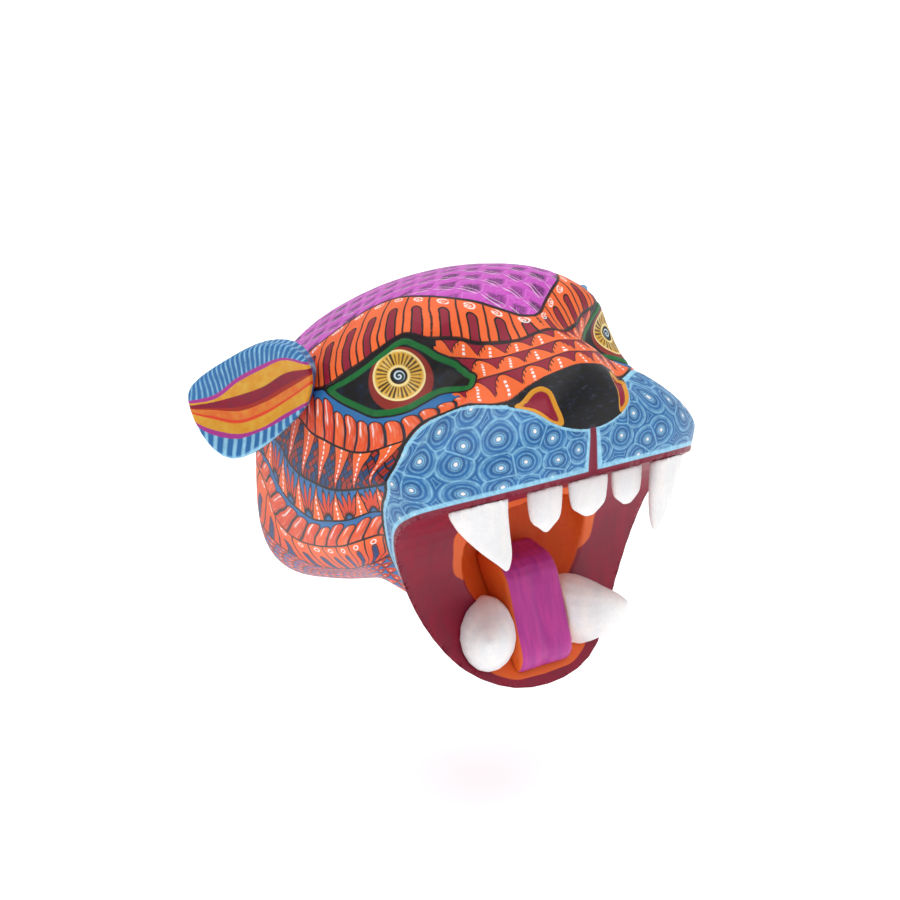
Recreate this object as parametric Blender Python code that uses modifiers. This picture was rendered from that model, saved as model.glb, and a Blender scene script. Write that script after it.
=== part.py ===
"""Big cat head wall mask in carved and painted copal wood.

The head is one hollow-backed carving. The ears, the teeth and the tongue are carved on their own and
pegged into it, and a ring hanger is screwed into the back rim. The wall is the plane y = 0, the face
looks along -Y, and the origin is the point of the wall hook inside the raised ring.
"""

import math

import bmesh
import bpy
import numpy as np
from mathutils import Matrix, Vector

MM = 0.001
FIT_GAP = 0.3 * MM

# The carving is measured from a level line through the widest part of the ears; the hook is above it.
HOOK_HEIGHT = 16.0

# Head sections from the wall to the nose: distance from the wall, half width, crown height, underside
# height, height of the widest line, fullness above it, fullness below it, waist taken in below it.
HEAD_SECTIONS = (
    (0.0, 78.0, 24.0, -121.0, -55.0, 2.5, 3.0, 0.0),
    (4.0, 80.5, 30.0, -120.0, -53.0, 2.4, 3.0, 0.0),
    (14.0, 82.5, 37.0, -117.0, -50.0, 2.2, 3.0, 0.0),
    (32.0, 84.5, 45.5, -112.0, -45.0, 2.1, 2.9, 0.0),
    (60.0, 87.0, 55.0, -103.0, -40.0, 2.1, 2.6, 0.0),
    (86.0, 88.0, 60.0, -99.0, -34.0, 2.2, 2.4, 0.0),
    (101.0, 88.0, 59.5, -105.0, -28.0, 2.15, 2.2, 0.03),
    (112.0, 88.0, 56.0, -115.0, -23.0, 2.0, 2.0, 0.08),
    (121.0, 87.0, 49.5, -125.0, -21.0, 1.6, 2.35, 0.1),
    (131.0, 86.5, 44.0, -134.0, -19.0, 1.17, 2.35, 0.07),
    (144.0, 85.0, 37.5, -138.5, -18.0, 1.28, 2.1, 0.06),
    (155.0, 78.0, 32.0, -134.0, -18.0, 1.3, 2.0, 0.05),
    (164.0, 64.0, 26.0, -110.0, -18.0, 1.4, 1.8, 0.05),
    (170.0, 44.0, 16.0, -80.0, -18.0, 1.6, 2.0, 0.0),
    (173.5, 18.0, 0.0, -40.0, -18.0, 2.0, 2.0, 0.0),
)
HEAD_RING_POINTS = 64
HEAD_RINGS_PER_SECTION = 3

# Soft hollows and swellings pressed into the head: centre, reach along X, Y and Z, and the push, all in
# millimetres on the animal's left side; each is mirrored to the right side.
HEAD_PRESSES = (
    ((59.0, -113.0, 22.0), (17.0, 21.0, 10.0), (-4.0, 11.5, 0.0)),
    ((83.0, -106.0, 9.0), (11.0, 17.0, 10.0), (-7.0, 3.0, -5.0)),
    ((43.0, -126.0, 21.0), (9.0, 12.0, 9.0), (-1.0, 5.0, -1.0)),
    ((50.0, -158.0, -8.0), (22.0, 22.0, 12.0), (1.0, -3.0, 0.0)),
    ((35.0, -158.0, 18.0), (9.0, 12.0, 8.0), (-1.0, 4.0, -4.0)),
    ((0.0, -168.0, 14.0), (14.0, 10.0, 9.0), (0.0, -0.8, 0.8)),
    ((80.0, -38.0, 24.0), (12.0, 22.0, 14.0), (7.0, 0.0, 8.0)),
)

# The open mouth seen from the side: palate, inner arc of the jaw, lower lip. Distance from the wall, height.
MOUTH_SIDE = (
    (220.0, -1.0), (173.0, -22.5), (160.0, -28.0), (147.0, -34.5), (134.0, -44.0), (125.5, -57.0),
    (121.5, -72.0), (120.5, -88.0), (122.5, -104.0), (127.0, -117.0), (133.5, -127.0), (138.0, -132.5),
    (142.0, -139.0),
)
MOUTH_FRONT = ((143.5, -160.0), (220.0, -160.0))
MOUTH_HALF_WIDTH = 120.0
THROAT_CENTRE = (0.0, -124.0, -74.0)
THROAT_RADII = (37.0, 24.0, 54.0)
THROAT_LEAN = 30.0

# The hollow carved out of the back: distance from the wall, half width, top, bottom, widest line, fullness.
HOLLOW_SECTIONS = (
    (-13.0, 58.0, -18.0, -101.0, -60.0, 3.0, 3.0, 0.0),
    (5.0, 58.0, -18.0, -101.0, -60.0, 3.0, 3.0, 0.0),
    (22.0, 60.0, -8.0, -96.0, -52.0, 3.0, 3.0, 0.0),
    (48.0, 60.0, 8.0, -88.0, -42.0, 2.8, 2.8, 0.0),
    (68.0, 50.0, 8.0, -76.0, -34.0, 2.4, 2.4, 0.0),
    (76.0, 34.0, -4.0, -60.0, -32.0, 2.2, 2.2, 0.0),
    (78.0, 12.0, -22.0, -42.0, -32.0, 2.0, 2.0, 0.0),
)

# Ear: the middle of its dish on the right side, the directions of its length and face, and its outline
# measured in the dish's own plane from that middle, going round.
EAR_MIDDLE = (-103.0, -42.0, -2.0)
EAR_FACE = (-0.80, -0.60, 0.06)
EAR_OUTLINE = (
    (-30.0, 8.0), (-30.0, 21.0), (-20.0, 30.5), (-4.0, 30.0), (14.0, 21.0), (32.0, 7.0),
    (33.0, -5.0), (24.0, -21.0), (11.0, -28.0), (-6.0, -20.0), (-24.0, -3.0),
)
EAR_DISH_DEPTH = 7.0
EAR_RIM = 2.6
EAR_BACK_DEPTH = 20.0
EAR_BACK_RISE = 7.0
EAR_PEG_RADIUS = 4.0
EAR_PEG_FROM = (-72.0, -42.0, 0.0)
EAR_PEG_TO = (-89.0, -43.0, 0.0)

# Teeth: line from root to point, half width and half thickness at each of those points, and the
# direction of the width, on the animal's left side.
UPPER_FANG = (
    ((57.0, -159.0, -16.0), (55.5, -160.5, -31.0), (50.5, -163.0, -44.0), (46.0, -165.5, -54.0),
     (44.0, -166.5, -61.0)),
    (15.0, 14.0, 9.5, 5.0, 1.0), (7.5, 7.0, 5.5, 3.5, 1.0), (0.84, 0.50, -0.20),
)
LOWER_FANG = (
    ((23.0, -118.5, -112.0), (26.5, -126.0, -111.0), (33.0, -138.0, -108.5), (39.0, -146.5, -105.0),
     (42.0, -150.5, -103.0)),
    (14.0, 15.0, 11.5, 6.0, 1.2), (18.0, 18.5, 14.0, 7.0, 1.2), (0.80, 0.60, 0.0),
)
FRONT_TEETH = {
    "front_tooth_right": (-19.0, 9.5, -49.0, 1.2),
    "front_tooth_middle": (6.0, 12.0, -46.0, 4.5),
    "front_tooth_left": (31.0, 10.5, -46.0, 4.5),
}
FRONT_TOOTH_HALF_THICKNESS = 4.8
TENON_RADIUS = 3.0
UPPER_TENON_LENGTH = 9.0
LOWER_TENON_LENGTH = 0.5

TONGUE_HALF_WIDTH = 16.0
TONGUE_ROUNDING = 2.5
TONGUE_SIDE = (
    (104.0, -76.0), (113.0, -77.0), (122.0, -79.0), (128.5, -85.0), (133.0, -97.0), (137.5, -110.0),
    (140.5, -118.0), (141.0, -124.5), (136.0, -131.0), (124.0, -126.0), (112.0, -106.0), (103.0, -86.0),
)

# Ring hanger, let into the rim so that nothing stands behind the wall plane.
PLATE_WIDTH = 12.0
PLATE_TOP = 3.0
PLATE_BOTTOM = -8.5
PLATE_THICKNESS = 1.0
PLATE_BACK = 3.4
KNUCKLE_RADIUS = 1.9
KNUCKLE_INSET = 1.5
WEB_OVERLAP = 1.5
RING_PLAY = 0.25
RING_AXIS = (0.0, -2.2, 5.0)
RING_WIRE_RADIUS = 0.9
RING_HALF_WIDTH = 7.5
RING_REACH = 11.9
SCREW_HEIGHTS = (0.9, -3.6)
SCREW_RADIUS = 1.0
SCREW_LENGTH = 12.0
SCREW_HEAD_RADIUS = 1.9
SCREW_HEAD_THICKNESS = 1.3
POCKET = ((-11.0, -11.0), (11.0, 19.5))
POCKET_DEPTH = 4.7

COLOURS = {
    "painted_wood": ((0.62, 0.16, 0.07), 0.45),
    "ear_paint": ((0.12, 0.30, 0.52), 0.45),
    "bare_wood": ((0.62, 0.45, 0.27), 0.7),
    "tooth_white": ((0.88, 0.88, 0.86), 0.4),
    "tongue_magenta": ((0.52, 0.05, 0.36), 0.45),
    "zinc_steel": ((0.62, 0.62, 0.60), 0.35),
}
METALS = {"zinc_steel"}


def clear_scene():
    """Remove every object of the open file."""
    for item in list(bpy.data.objects):
        bpy.data.objects.remove(item, do_unlink=True)


def make_collection(name):
    """Return a new collection linked into the scene."""
    group = bpy.data.collections.new(name)
    bpy.context.scene.collection.children.link(group)
    return group


def make_material(name):
    """Return the Principled material of that finish."""
    colour, roughness = COLOURS[name]
    material = bpy.data.materials.new(name)
    material.use_nodes = True
    shader = material.node_tree.nodes["Principled BSDF"]
    shader.inputs["Base Color"].default_value = (*colour, 1.0)
    shader.inputs["Roughness"].default_value = roughness
    shader.inputs["Metallic"].default_value = 1.0 if name in METALS else 0.0
    return material


def smooth_rows(rows, steps):
    """Return the rows with smooth in-between rows, each pair of rows split into that many steps."""
    table = np.array(rows, dtype=float)
    slopes = np.gradient(table, axis=0)
    result = []
    for index in range(len(table) - 1):
        for step in range(steps):
            t = step / steps
            result.append(
                (2 * t**3 - 3 * t**2 + 1) * table[index]
                + (t**3 - 2 * t**2 + t) * slopes[index]
                + (3 * t**2 - 2 * t**3) * table[index + 1]
                + (t**3 - t**2) * slopes[index + 1]
            )
    result.append(table[-1])
    return np.array(result)


def smooth_loop(points, steps):
    """Return a closed smooth curve through the points."""
    ring = list(points)
    padded = ring[-2:] + ring + ring[:3]
    curve = smooth_rows(padded, steps)
    return curve[2 * steps:(2 + len(ring)) * steps]


def section_ring(section, count):
    """Return the points of one rounded cross section, in millimetres."""
    depth, half_width, top, bottom, level, full_top, full_bottom, waist = section
    ring = []
    for index in range(count):
        angle = 2 * math.pi * index / count
        across, up = math.cos(angle), math.sin(angle)
        fullness = full_top if up >= 0 else full_bottom
        height = top - level if up >= 0 else level - bottom
        x = half_width * math.copysign(abs(across) ** (2 / fullness), across)
        rise = math.copysign(abs(up) ** (2 / fullness), up)
        if up < 0:
            x *= 1 - 4 * waist * abs(rise) * (1 - abs(rise))
        ring.append((x, -depth, level + height * rise))
    return ring


def add_object(name, mesh_data, group, material=None):
    """Turn a bmesh in millimetres into an object in metres and link it to the group."""
    bmesh.ops.recalc_face_normals(mesh_data, faces=mesh_data.faces)
    bmesh.ops.translate(mesh_data, verts=mesh_data.verts, vec=(0.0, 0.0, -HOOK_HEIGHT))
    bmesh.ops.scale(mesh_data, verts=mesh_data.verts, vec=(MM, MM, MM))
    mesh = bpy.data.meshes.new(name)
    mesh_data.to_mesh(mesh)
    mesh_data.free()
    item = bpy.data.objects.new(name, mesh)
    group.objects.link(item)
    if material is not None:
        mesh.materials.append(material)
        mesh.shade_smooth()
        mesh.set_sharp_from_angle(angle=math.radians(35))
    else:
        item.hide_render = True
        item.display_type = "WIRE"
    return item


def loft(rings):
    """Return a closed bmesh skinned over rings that all have the same number of points."""
    body = bmesh.new()
    loops = [[body.verts.new(point) for point in ring] for ring in rings]
    count = len(loops[0])
    for first, second in zip(loops, loops[1:]):
        for index in range(count):
            after = (index + 1) % count
            body.faces.new((first[index], first[after], second[after], second[index]))
    for cap in (loops[0], loops[-1]):
        middle = body.verts.new(sum((corner.co for corner in cap), Vector()) / count)
        for index in range(count):
            body.faces.new((cap[index], cap[(index + 1) % count], middle))
    bmesh.ops.recalc_face_normals(body, faces=body.faces)
    return body


def press(point, side_presses):
    """Return the point moved by the soft hollows and swellings on both sides."""
    moved = Vector(point)
    for centre, reach, push in side_presses:
        for side in (1, -1):
            steps = [
                (point[0] - side * centre[0]) / reach[0],
                (point[1] - centre[1]) / reach[1],
                (point[2] - centre[2]) / reach[2],
            ]
            weight = math.exp(-0.5 * sum(step * step for step in steps))
            moved += weight * Vector((side * push[0], push[1], push[2]))
    return moved


def head_form(swell=0.0):
    """Return the solid head before any hollow is cut, grown by the swell in millimetres."""
    rows = smooth_rows(HEAD_SECTIONS, HEAD_RINGS_PER_SECTION)
    rings = [[press(p, HEAD_PRESSES) for p in section_ring(row, HEAD_RING_POINTS)] for row in rows]
    body = loft(rings)
    if swell:
        body.normal_update()
        for vert in body.verts:
            vert.co += vert.normal * swell
    return body


def prism(outline, half_width):
    """Return a side outline, given as distance from the wall and height, drawn out to both sides."""
    body = bmesh.new()
    corners = [body.verts.new((-half_width, -depth, height)) for depth, height in outline]
    face = body.faces.new(corners)
    drawn = bmesh.ops.extrude_face_region(body, geom=[face])
    moved = [part for part in drawn["geom"] if isinstance(part, bmesh.types.BMVert)]
    bmesh.ops.translate(body, verts=moved, vec=(2 * half_width, 0.0, 0.0))
    bmesh.ops.recalc_face_normals(body, faces=body.faces)
    return body


def shrink(body, amount):
    """Move every face of a closed bmesh inwards by the amount in millimetres."""
    body.normal_update()
    offsets = {vert: vert.normal * vert.calc_shell_factor() * amount for vert in body.verts}
    for vert, offset in offsets.items():
        vert.co -= offset
    return body


def rod(start, end, radius, segments=16):
    """Return a bmesh cylinder between two points."""
    start, end = Vector(start), Vector(end)
    along = end - start
    body = bmesh.new()
    bmesh.ops.create_cone(body, cap_ends=True, segments=segments, radius1=radius, radius2=radius,
                          depth=along.length)
    turn = along.to_track_quat("Z", "Y").to_matrix().to_4x4()
    bmesh.ops.transform(body, matrix=Matrix.Translation((start + end) / 2) @ turn, verts=body.verts)
    return body


def block(low, high):
    """Return a bmesh box between two corners."""
    body = bmesh.new()
    size = Vector(high) - Vector(low)
    bmesh.ops.create_cube(body, size=1.0, matrix=Matrix.Translation((Vector(low) + Vector(high)) / 2)
                          @ Matrix.Diagonal((*size, 1.0)))
    return body


def joined(bodies):
    """Return one bmesh that holds all the bodies side by side."""
    whole = bmesh.new()
    for body in bodies:
        mesh = bpy.data.meshes.new("shape")
        body.to_mesh(mesh)
        body.free()
        whole.from_mesh(mesh)
        bpy.data.meshes.remove(mesh)
    return whole


def mirrored(body):
    """Return the bmesh mirrored from one side of the head to the other."""
    bmesh.ops.scale(body, verts=body.verts, vec=(-1.0, 1.0, 1.0))
    bmesh.ops.reverse_faces(body, faces=body.faces)
    return body


def combine(item, other, operation):
    """Give the item an exact boolean with the other object."""
    modifier = item.modifiers.new(f"{operation.lower()}_{other.name}", "BOOLEAN")
    modifier.object = other
    modifier.operation = operation
    modifier.solver = "EXACT"


def mouth_room(name, group, clearance):
    """Return the cutter of the open mouth and throat, drawn in by the clearance in millimetres."""
    side = [tuple(row) for row in smooth_rows(MOUTH_SIDE, 2)] + list(MOUTH_FRONT)
    opening = add_object(name, shrink(prism(side, MOUTH_HALF_WIDTH), clearance), group)
    bowl = bmesh.new()
    reach = [radius - clearance for radius in THROAT_RADII]
    bmesh.ops.create_uvsphere(bowl, u_segments=32, v_segments=20, radius=1.0)
    placed = Matrix.Translation(THROAT_CENTRE) @ Matrix.Rotation(-math.radians(THROAT_LEAN), 4, "X")
    bmesh.ops.transform(bowl, matrix=placed @ Matrix.Diagonal((*reach, 1.0)), verts=bowl.verts)
    throat = add_object(f"{name}_throat", bowl, group)
    combine(opening, throat, "UNION")
    return opening


def tooth_form(line, widths, depths, side, segments=16, steps=3):
    """Return a tapering tooth: oval rings square to the line, with a rounded point."""
    rows = smooth_rows([(*p, w, d) for p, w, d in zip(line, widths, depths)], steps)
    rings = []
    for index, row in enumerate(rows):
        before = Vector(rows[max(index - 1, 0)][:3])
        after = Vector(rows[min(index + 1, len(rows) - 1)][:3])
        along = (after - before).normalized()
        across = (Vector(side) - Vector(side).dot(along) * along).normalized()
        outward = along.cross(across)
        ring = []
        for corner in range(segments):
            angle = 2 * math.pi * corner / segments
            ring.append(Vector(row[:3]) + across * row[3] * math.cos(angle) + outward * row[4] * math.sin(angle))
        rings.append(ring)
    return loft(rings)


def front_tooth_shape(middle, half_width, tip, tip_half_width):
    """Return the line, widths, thicknesses and width direction of one front tooth."""
    depth = -162.5 + 0.0022 * middle * middle
    line = [(middle, depth + 1, -16.0), (middle, depth, -28.0), (middle, depth - 0.5, 0.6 * tip - 12.0),
            (middle, depth - 1.0, tip + 3.0), (middle, depth - 1.0, tip)]
    widths = (half_width, half_width, 0.86 * half_width, 0.35 * half_width + 0.65 * tip_half_width,
              0.6 * tip_half_width)
    thick = FRONT_TOOTH_HALF_THICKNESS
    return line, widths, (thick, thick, 0.9 * thick, 0.5 * thick, 0.25 * thick), (1.0, 0.006 * middle, 0.0)


def tenon(line, length, clearance):
    """Return the round tenon that runs from inside a tooth past its root by the length."""
    root, inner = Vector(line[0]), Vector(line[1])
    along = (root - inner).normalized()
    start = inner - along * 3.0
    end = root + along * (length + clearance)
    return rod(start, end, TENON_RADIUS + clearance)


def build_tooth(name, shape, length, side, group, cutters, room, material):
    """Build one tooth with its tenon; side is -1 for a tooth mirrored to the animal's right."""
    line, widths, depths, across = shape
    body, stem = tooth_form(line, widths, depths, across), tenon(line, length, 0.0)
    if side < 0:
        body, stem = mirrored(body), mirrored(stem)
    tooth = add_object(name, body, group, material)
    combine(tooth, room, "INTERSECT")
    stem_item = add_object(f"{name}_tenon", stem, cutters)
    combine(tooth, stem_item, "UNION")
    return tooth


def ear_frame():
    """Return the middle of the right ear's dish and its length, height and facing directions."""
    facing = Vector(EAR_FACE).normalized()
    height = (Vector((0.0, 0.0, 1.0)) - facing.z * facing).normalized()
    length = height.cross(facing).normalized()
    if length.y < 0:
        length = -length
    return Vector(EAR_MIDDLE), length, height, facing


def ear_form():
    """Return the right ear: a hollowed dish in front, a raised rim and a full rounded back."""
    middle, length, height, facing = ear_frame()
    outline = smooth_loop(EAR_OUTLINE, 3)
    dish = -EAR_DISH_DEPTH
    profile = [(0.12, dish, 0.0), (0.45, 0.8 * dish, 0.0), (0.72, 0.38 * dish, 0.0), (0.88, 0.0, 0.0),
               (0.96, 0.8, 0.0), (1.0, -0.5 * EAR_RIM, 0.0), (0.98, -1.6 * EAR_RIM, 0.0)]
    steps = 6
    for step in range(1, steps):
        angle = 0.5 * math.pi * step / steps
        sink = -1.6 * EAR_RIM - EAR_BACK_DEPTH * math.sin(angle)
        profile.append((0.98 * math.cos(angle), sink, EAR_BACK_RISE * math.sin(angle)))
    rings = []
    for reach, sink, rise in profile:
        centre = middle + facing * sink + height * rise
        rings.append([centre + length * reach * p[0] + height * reach * p[1] for p in outline])
    return loft(rings)


def build_ears(group, cutters, materials):
    """Build both ears with their pegs and return the bores to cut in the head."""
    bores = []
    for side, label in ((1, "right"), (-1, "left")):
        shape = ear_form() if side > 0 else mirrored(ear_form())
        ear = add_object(f"ear_{label}", shape, group, materials["ear_paint"])
        seat = add_object(f"ear_seat_{label}", head_form(FIT_GAP / MM), cutters)
        combine(ear, seat, "DIFFERENCE")
        start, end = Vector(EAR_PEG_FROM), Vector(EAR_PEG_TO)
        extra = (end - start).normalized() * FIT_GAP / MM
        peg, bore = rod(start, end, EAR_PEG_RADIUS), rod(start - extra, end + extra, EAR_PEG_RADIUS + FIT_GAP / MM)
        if side < 0:
            peg, bore = mirrored(peg), mirrored(bore)
        add_object(f"ear_peg_{label}", peg, group, materials["bare_wood"])
        ear_bore = add_object(f"ear_bore_{label}", bore.copy(), cutters)
        combine(ear, ear_bore, "DIFFERENCE")
        bores.append(bore)
    return bores


def build_teeth(group, cutters, room, material):
    """Build the seven teeth and return their sockets."""
    sockets = []
    width = TONGUE_HALF_WIDTH + FIT_GAP / MM
    beside_tongue = add_object("beside_tongue", block((-width, -180.0, -150.0), (width, -90.0, -60.0)), cutters)
    for side, label in ((-1, "right"), (1, "left")):
        for name, shape, length in (("upper_fang", UPPER_FANG, UPPER_TENON_LENGTH),
                                    ("lower_fang", LOWER_FANG, LOWER_TENON_LENGTH)):
            tooth = build_tooth(f"{name}_{label}", shape, length, side, group, cutters, room, material)
            combine(tooth, beside_tongue, "DIFFERENCE")
            socket = tenon(shape[0], length, FIT_GAP / MM)
            sockets.append(socket if side > 0 else mirrored(socket))
    for name, values in FRONT_TEETH.items():
        shape = front_tooth_shape(*values)
        build_tooth(name, shape, UPPER_TENON_LENGTH, 1, group, cutters, room, material)
        sockets.append(tenon(shape[0], UPPER_TENON_LENGTH, FIT_GAP / MM))
    return sockets


def build_tongue(group, cutters, room, material):
    """Build the tongue bedded in the throat, with a peg into the throat wall; return the peg's bore."""
    side = [tuple(row) for row in smooth_loop(TONGUE_SIDE, 2)]
    body = prism(side, TONGUE_HALF_WIDTH)
    tongue = add_object("tongue", body, group, material)
    rounding = tongue.modifiers.new("rounded_edges", "BEVEL")
    rounding.width = TONGUE_ROUNDING * MM
    rounding.segments = 2
    rounding.limit_method = "ANGLE"
    rounding.angle_limit = math.radians(50)
    combine(tongue, room, "INTERSECT")
    start, end = Vector((0.0, -118.0, -88.0)), Vector((0.0, -92.0, -88.0))
    stem = add_object("tongue_tenon", rod(start, end, TENON_RADIUS), cutters)
    combine(tongue, stem, "UNION")
    return rod(start, end + Vector((0.0, FIT_GAP / MM, 0.0)), TENON_RADIUS + FIT_GAP / MM)


def build_head(group, cutters, bores, material):
    """Build the hollow-backed head with its mouth, its sockets and the pocket of the hanger."""
    head = add_object("head_shell", head_form(), group, material)
    combine(head, mouth_room("mouth_opening", cutters, 0.0), "DIFFERENCE")
    hollow_rings = [section_ring(row, 40) for row in smooth_rows(HOLLOW_SECTIONS, 2)]
    combine(head, add_object("back_hollow", loft(hollow_rings), cutters), "DIFFERENCE")
    (left, low), (right, high) = POCKET
    pocket = block((left, -POCKET_DEPTH, low), (right, 5.0, high))
    combine(head, add_object("hanger_pocket", pocket, cutters), "DIFFERENCE")
    combine(head, add_object("peg_bores", joined(bores), cutters), "DIFFERENCE")
    return head


def build_hanger(group, cutters, material):
    """Build the hanger plate, its ring and its two screws; return the pilot holes in the rim."""
    back = -PLATE_BACK - PLATE_THICKNESS
    plate_box = block((-PLATE_WIDTH / 2, back, PLATE_BOTTOM), (PLATE_WIDTH / 2, -PLATE_BACK, PLATE_TOP))
    plate = add_object("hanger_plate", plate_box, group, material)
    axis = Vector(RING_AXIS)
    half = 0.5 * PLATE_WIDTH - KNUCKLE_INSET
    knuckle = rod(axis - Vector((half, 0, 0)), axis + Vector((half, 0, 0)), KNUCKLE_RADIUS, 20)
    combine(plate, add_object("hanger_knuckle", knuckle, cutters), "UNION")
    web = block((-half, back, PLATE_TOP - WEB_OVERLAP), (half, -PLATE_BACK, axis.z))
    combine(plate, add_object("hanger_web", web, cutters), "UNION")
    bore = rod(axis - Vector((half + 1, 0, 0)), axis + Vector((half + 1, 0, 0)), RING_WIRE_RADIUS + RING_PLAY, 16)
    combine(plate, add_object("hanger_knuckle_bore", bore, cutters), "DIFFERENCE")
    holes, pilots = [], []
    for label, height in zip(("upper", "lower"), SCREW_HEIGHTS):
        tip = Vector((0.0, -PLATE_BACK - SCREW_LENGTH, height))
        seat = Vector((0.0, -PLATE_BACK + FIT_GAP / MM, height))
        crown = Vector((0.0, -PLATE_BACK + SCREW_HEAD_THICKNESS, height))
        inside = Vector((0.0, -PLATE_BACK + 0.5 * SCREW_HEAD_THICKNESS, height))
        screw = add_object(f"hanger_screw_{label}", rod(tip, inside, SCREW_RADIUS, 12), group, material)
        head = add_object(f"hanger_screw_head_{label}", rod(seat, crown, SCREW_HEAD_RADIUS, 16), cutters)
        combine(screw, head, "UNION")
        holes.append(rod(tip, crown, SCREW_RADIUS + FIT_GAP / MM, 12))
        pilots.append(rod(tip - Vector((0, FIT_GAP / MM, 0)), crown, SCREW_RADIUS + FIT_GAP / MM, 12))
    combine(plate, add_object("hanger_screw_holes", joined(holes), cutters), "DIFFERENCE")
    build_ring(group, material)
    return pilots


def build_ring(group, material):
    """Build the hanging ring: a straight pin through the knuckle and a round bow below it."""
    axis = Vector(RING_AXIS)
    drop = RING_REACH - RING_HALF_WIDTH
    path = [(0.0, 0.0), (RING_HALF_WIDTH - 1.0, 0.0), (RING_HALF_WIDTH, -1.0)]
    for step in range(1, 8):
        angle = math.pi * step / 8
        path.append((RING_HALF_WIDTH * math.cos(angle), -drop - RING_HALF_WIDTH * math.sin(angle)))
    path += [(-RING_HALF_WIDTH, -1.0), (-RING_HALF_WIDTH + 1.0, 0.0)]
    path.insert(3, (RING_HALF_WIDTH, -drop))
    path.insert(-2, (-RING_HALF_WIDTH, -drop))
    rings = []
    for index, (x, z) in enumerate(path):
        before, after = Vector(path[index - 1]), Vector(path[(index + 1) % len(path)])
        along = (after - before).normalized()
        outward = Vector((along.y, 0.0, -along.x))
        ring = []
        for corner in range(10):
            angle = 2 * math.pi * corner / 10
            offset = outward * math.cos(angle) + Vector((0.0, 1.0, 0.0)) * math.sin(angle)
            ring.append(Vector((x, 0.0, z)) + RING_WIRE_RADIUS * offset)
        rings.append(ring)
    body = bmesh.new()
    loops = [[body.verts.new(point) for point in ring] for ring in rings]
    for index, first in enumerate(loops):
        second = loops[(index + 1) % len(loops)]
        for corner in range(len(first)):
            after = (corner + 1) % len(first)
            body.faces.new((first[corner], first[after], second[after], second[corner]))
    bmesh.ops.translate(body, verts=body.verts, vec=(0.0, 0.0, HOOK_HEIGHT))
    ring_item = add_object("hanger_ring", body, group, material)
    ring_item.location = (axis.x * MM, axis.y * MM, (axis.z - HOOK_HEIGHT) * MM)
    return ring_item


def main():
    """Build the whole mask."""
    clear_scene()
    parts = make_collection("big_cat_mask")
    cutters = make_collection("cutters")
    materials = {name: make_material(name) for name in COLOURS}
    room = mouth_room("mouth_room", cutters, FIT_GAP / MM)
    bores = build_ears(parts, cutters, materials)
    bores += build_teeth(parts, cutters, room, materials["tooth_white"])
    bores.append(build_tongue(parts, cutters, room, materials["tongue_magenta"]))
    bores += build_hanger(parts, cutters, materials["zinc_steel"])
    build_head(parts, cutters, bores, materials["painted_wood"])


main()
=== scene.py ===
"""Painted big cat head wall mask: carved wood with folk patterns, pegged ears, teeth and tongue, ring hanger.

Every table of points is in millimetres on the carving: X to the animal's left, -Y the way the face looks, and
Z up from the widest line of the ears. A table gives the animal's right side; the left side mirrors it.
"""

import logging
import math
from dataclasses import dataclass
from enum import Enum

import bmesh
import bpy
import numpy as np
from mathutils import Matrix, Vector
from mathutils.bvhtree import BVHTree
from mathutils.kdtree import KDTree

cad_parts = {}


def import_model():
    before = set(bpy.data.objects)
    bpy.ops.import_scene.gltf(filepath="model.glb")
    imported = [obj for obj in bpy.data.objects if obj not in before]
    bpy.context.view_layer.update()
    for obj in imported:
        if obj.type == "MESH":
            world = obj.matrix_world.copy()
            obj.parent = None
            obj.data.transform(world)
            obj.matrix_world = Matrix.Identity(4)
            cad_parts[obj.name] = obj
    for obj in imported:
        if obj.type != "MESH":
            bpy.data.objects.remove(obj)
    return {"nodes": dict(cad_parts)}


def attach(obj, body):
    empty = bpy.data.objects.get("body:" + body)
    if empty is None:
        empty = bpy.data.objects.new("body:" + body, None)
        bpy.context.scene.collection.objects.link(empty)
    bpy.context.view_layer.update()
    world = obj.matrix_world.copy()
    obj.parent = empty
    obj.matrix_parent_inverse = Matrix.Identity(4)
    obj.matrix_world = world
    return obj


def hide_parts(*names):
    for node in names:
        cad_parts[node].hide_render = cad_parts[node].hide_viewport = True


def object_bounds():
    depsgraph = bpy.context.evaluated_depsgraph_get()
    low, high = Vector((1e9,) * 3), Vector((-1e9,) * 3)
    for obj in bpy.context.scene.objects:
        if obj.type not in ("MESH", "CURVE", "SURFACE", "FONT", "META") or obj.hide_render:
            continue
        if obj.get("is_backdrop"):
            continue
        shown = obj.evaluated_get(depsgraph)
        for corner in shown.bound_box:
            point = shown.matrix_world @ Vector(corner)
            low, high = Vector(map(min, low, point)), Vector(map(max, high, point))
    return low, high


LOG = logging.getLogger("mask")
MM = 0.001
HOOK_HEIGHT = 16.0

Points = tuple[tuple[float, ...], ...]
Colour = tuple[float, float, float, float]


def shade(code: str) -> Colour:
    """Turn a written colour into the linear value that a shader takes.

    Args:
        code: Six hexadecimal digits after a hash.

    Returns:
        Linear red, green and blue with full cover.
    """
    parts = [int(code[place:place + 2], 16) / 255 for place in (1, 3, 5)]
    return (*[p / 12.92 if p <= 0.04045 else ((p + 0.055) / 1.055) ** 2.4 for p in parts], 1.0)


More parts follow.
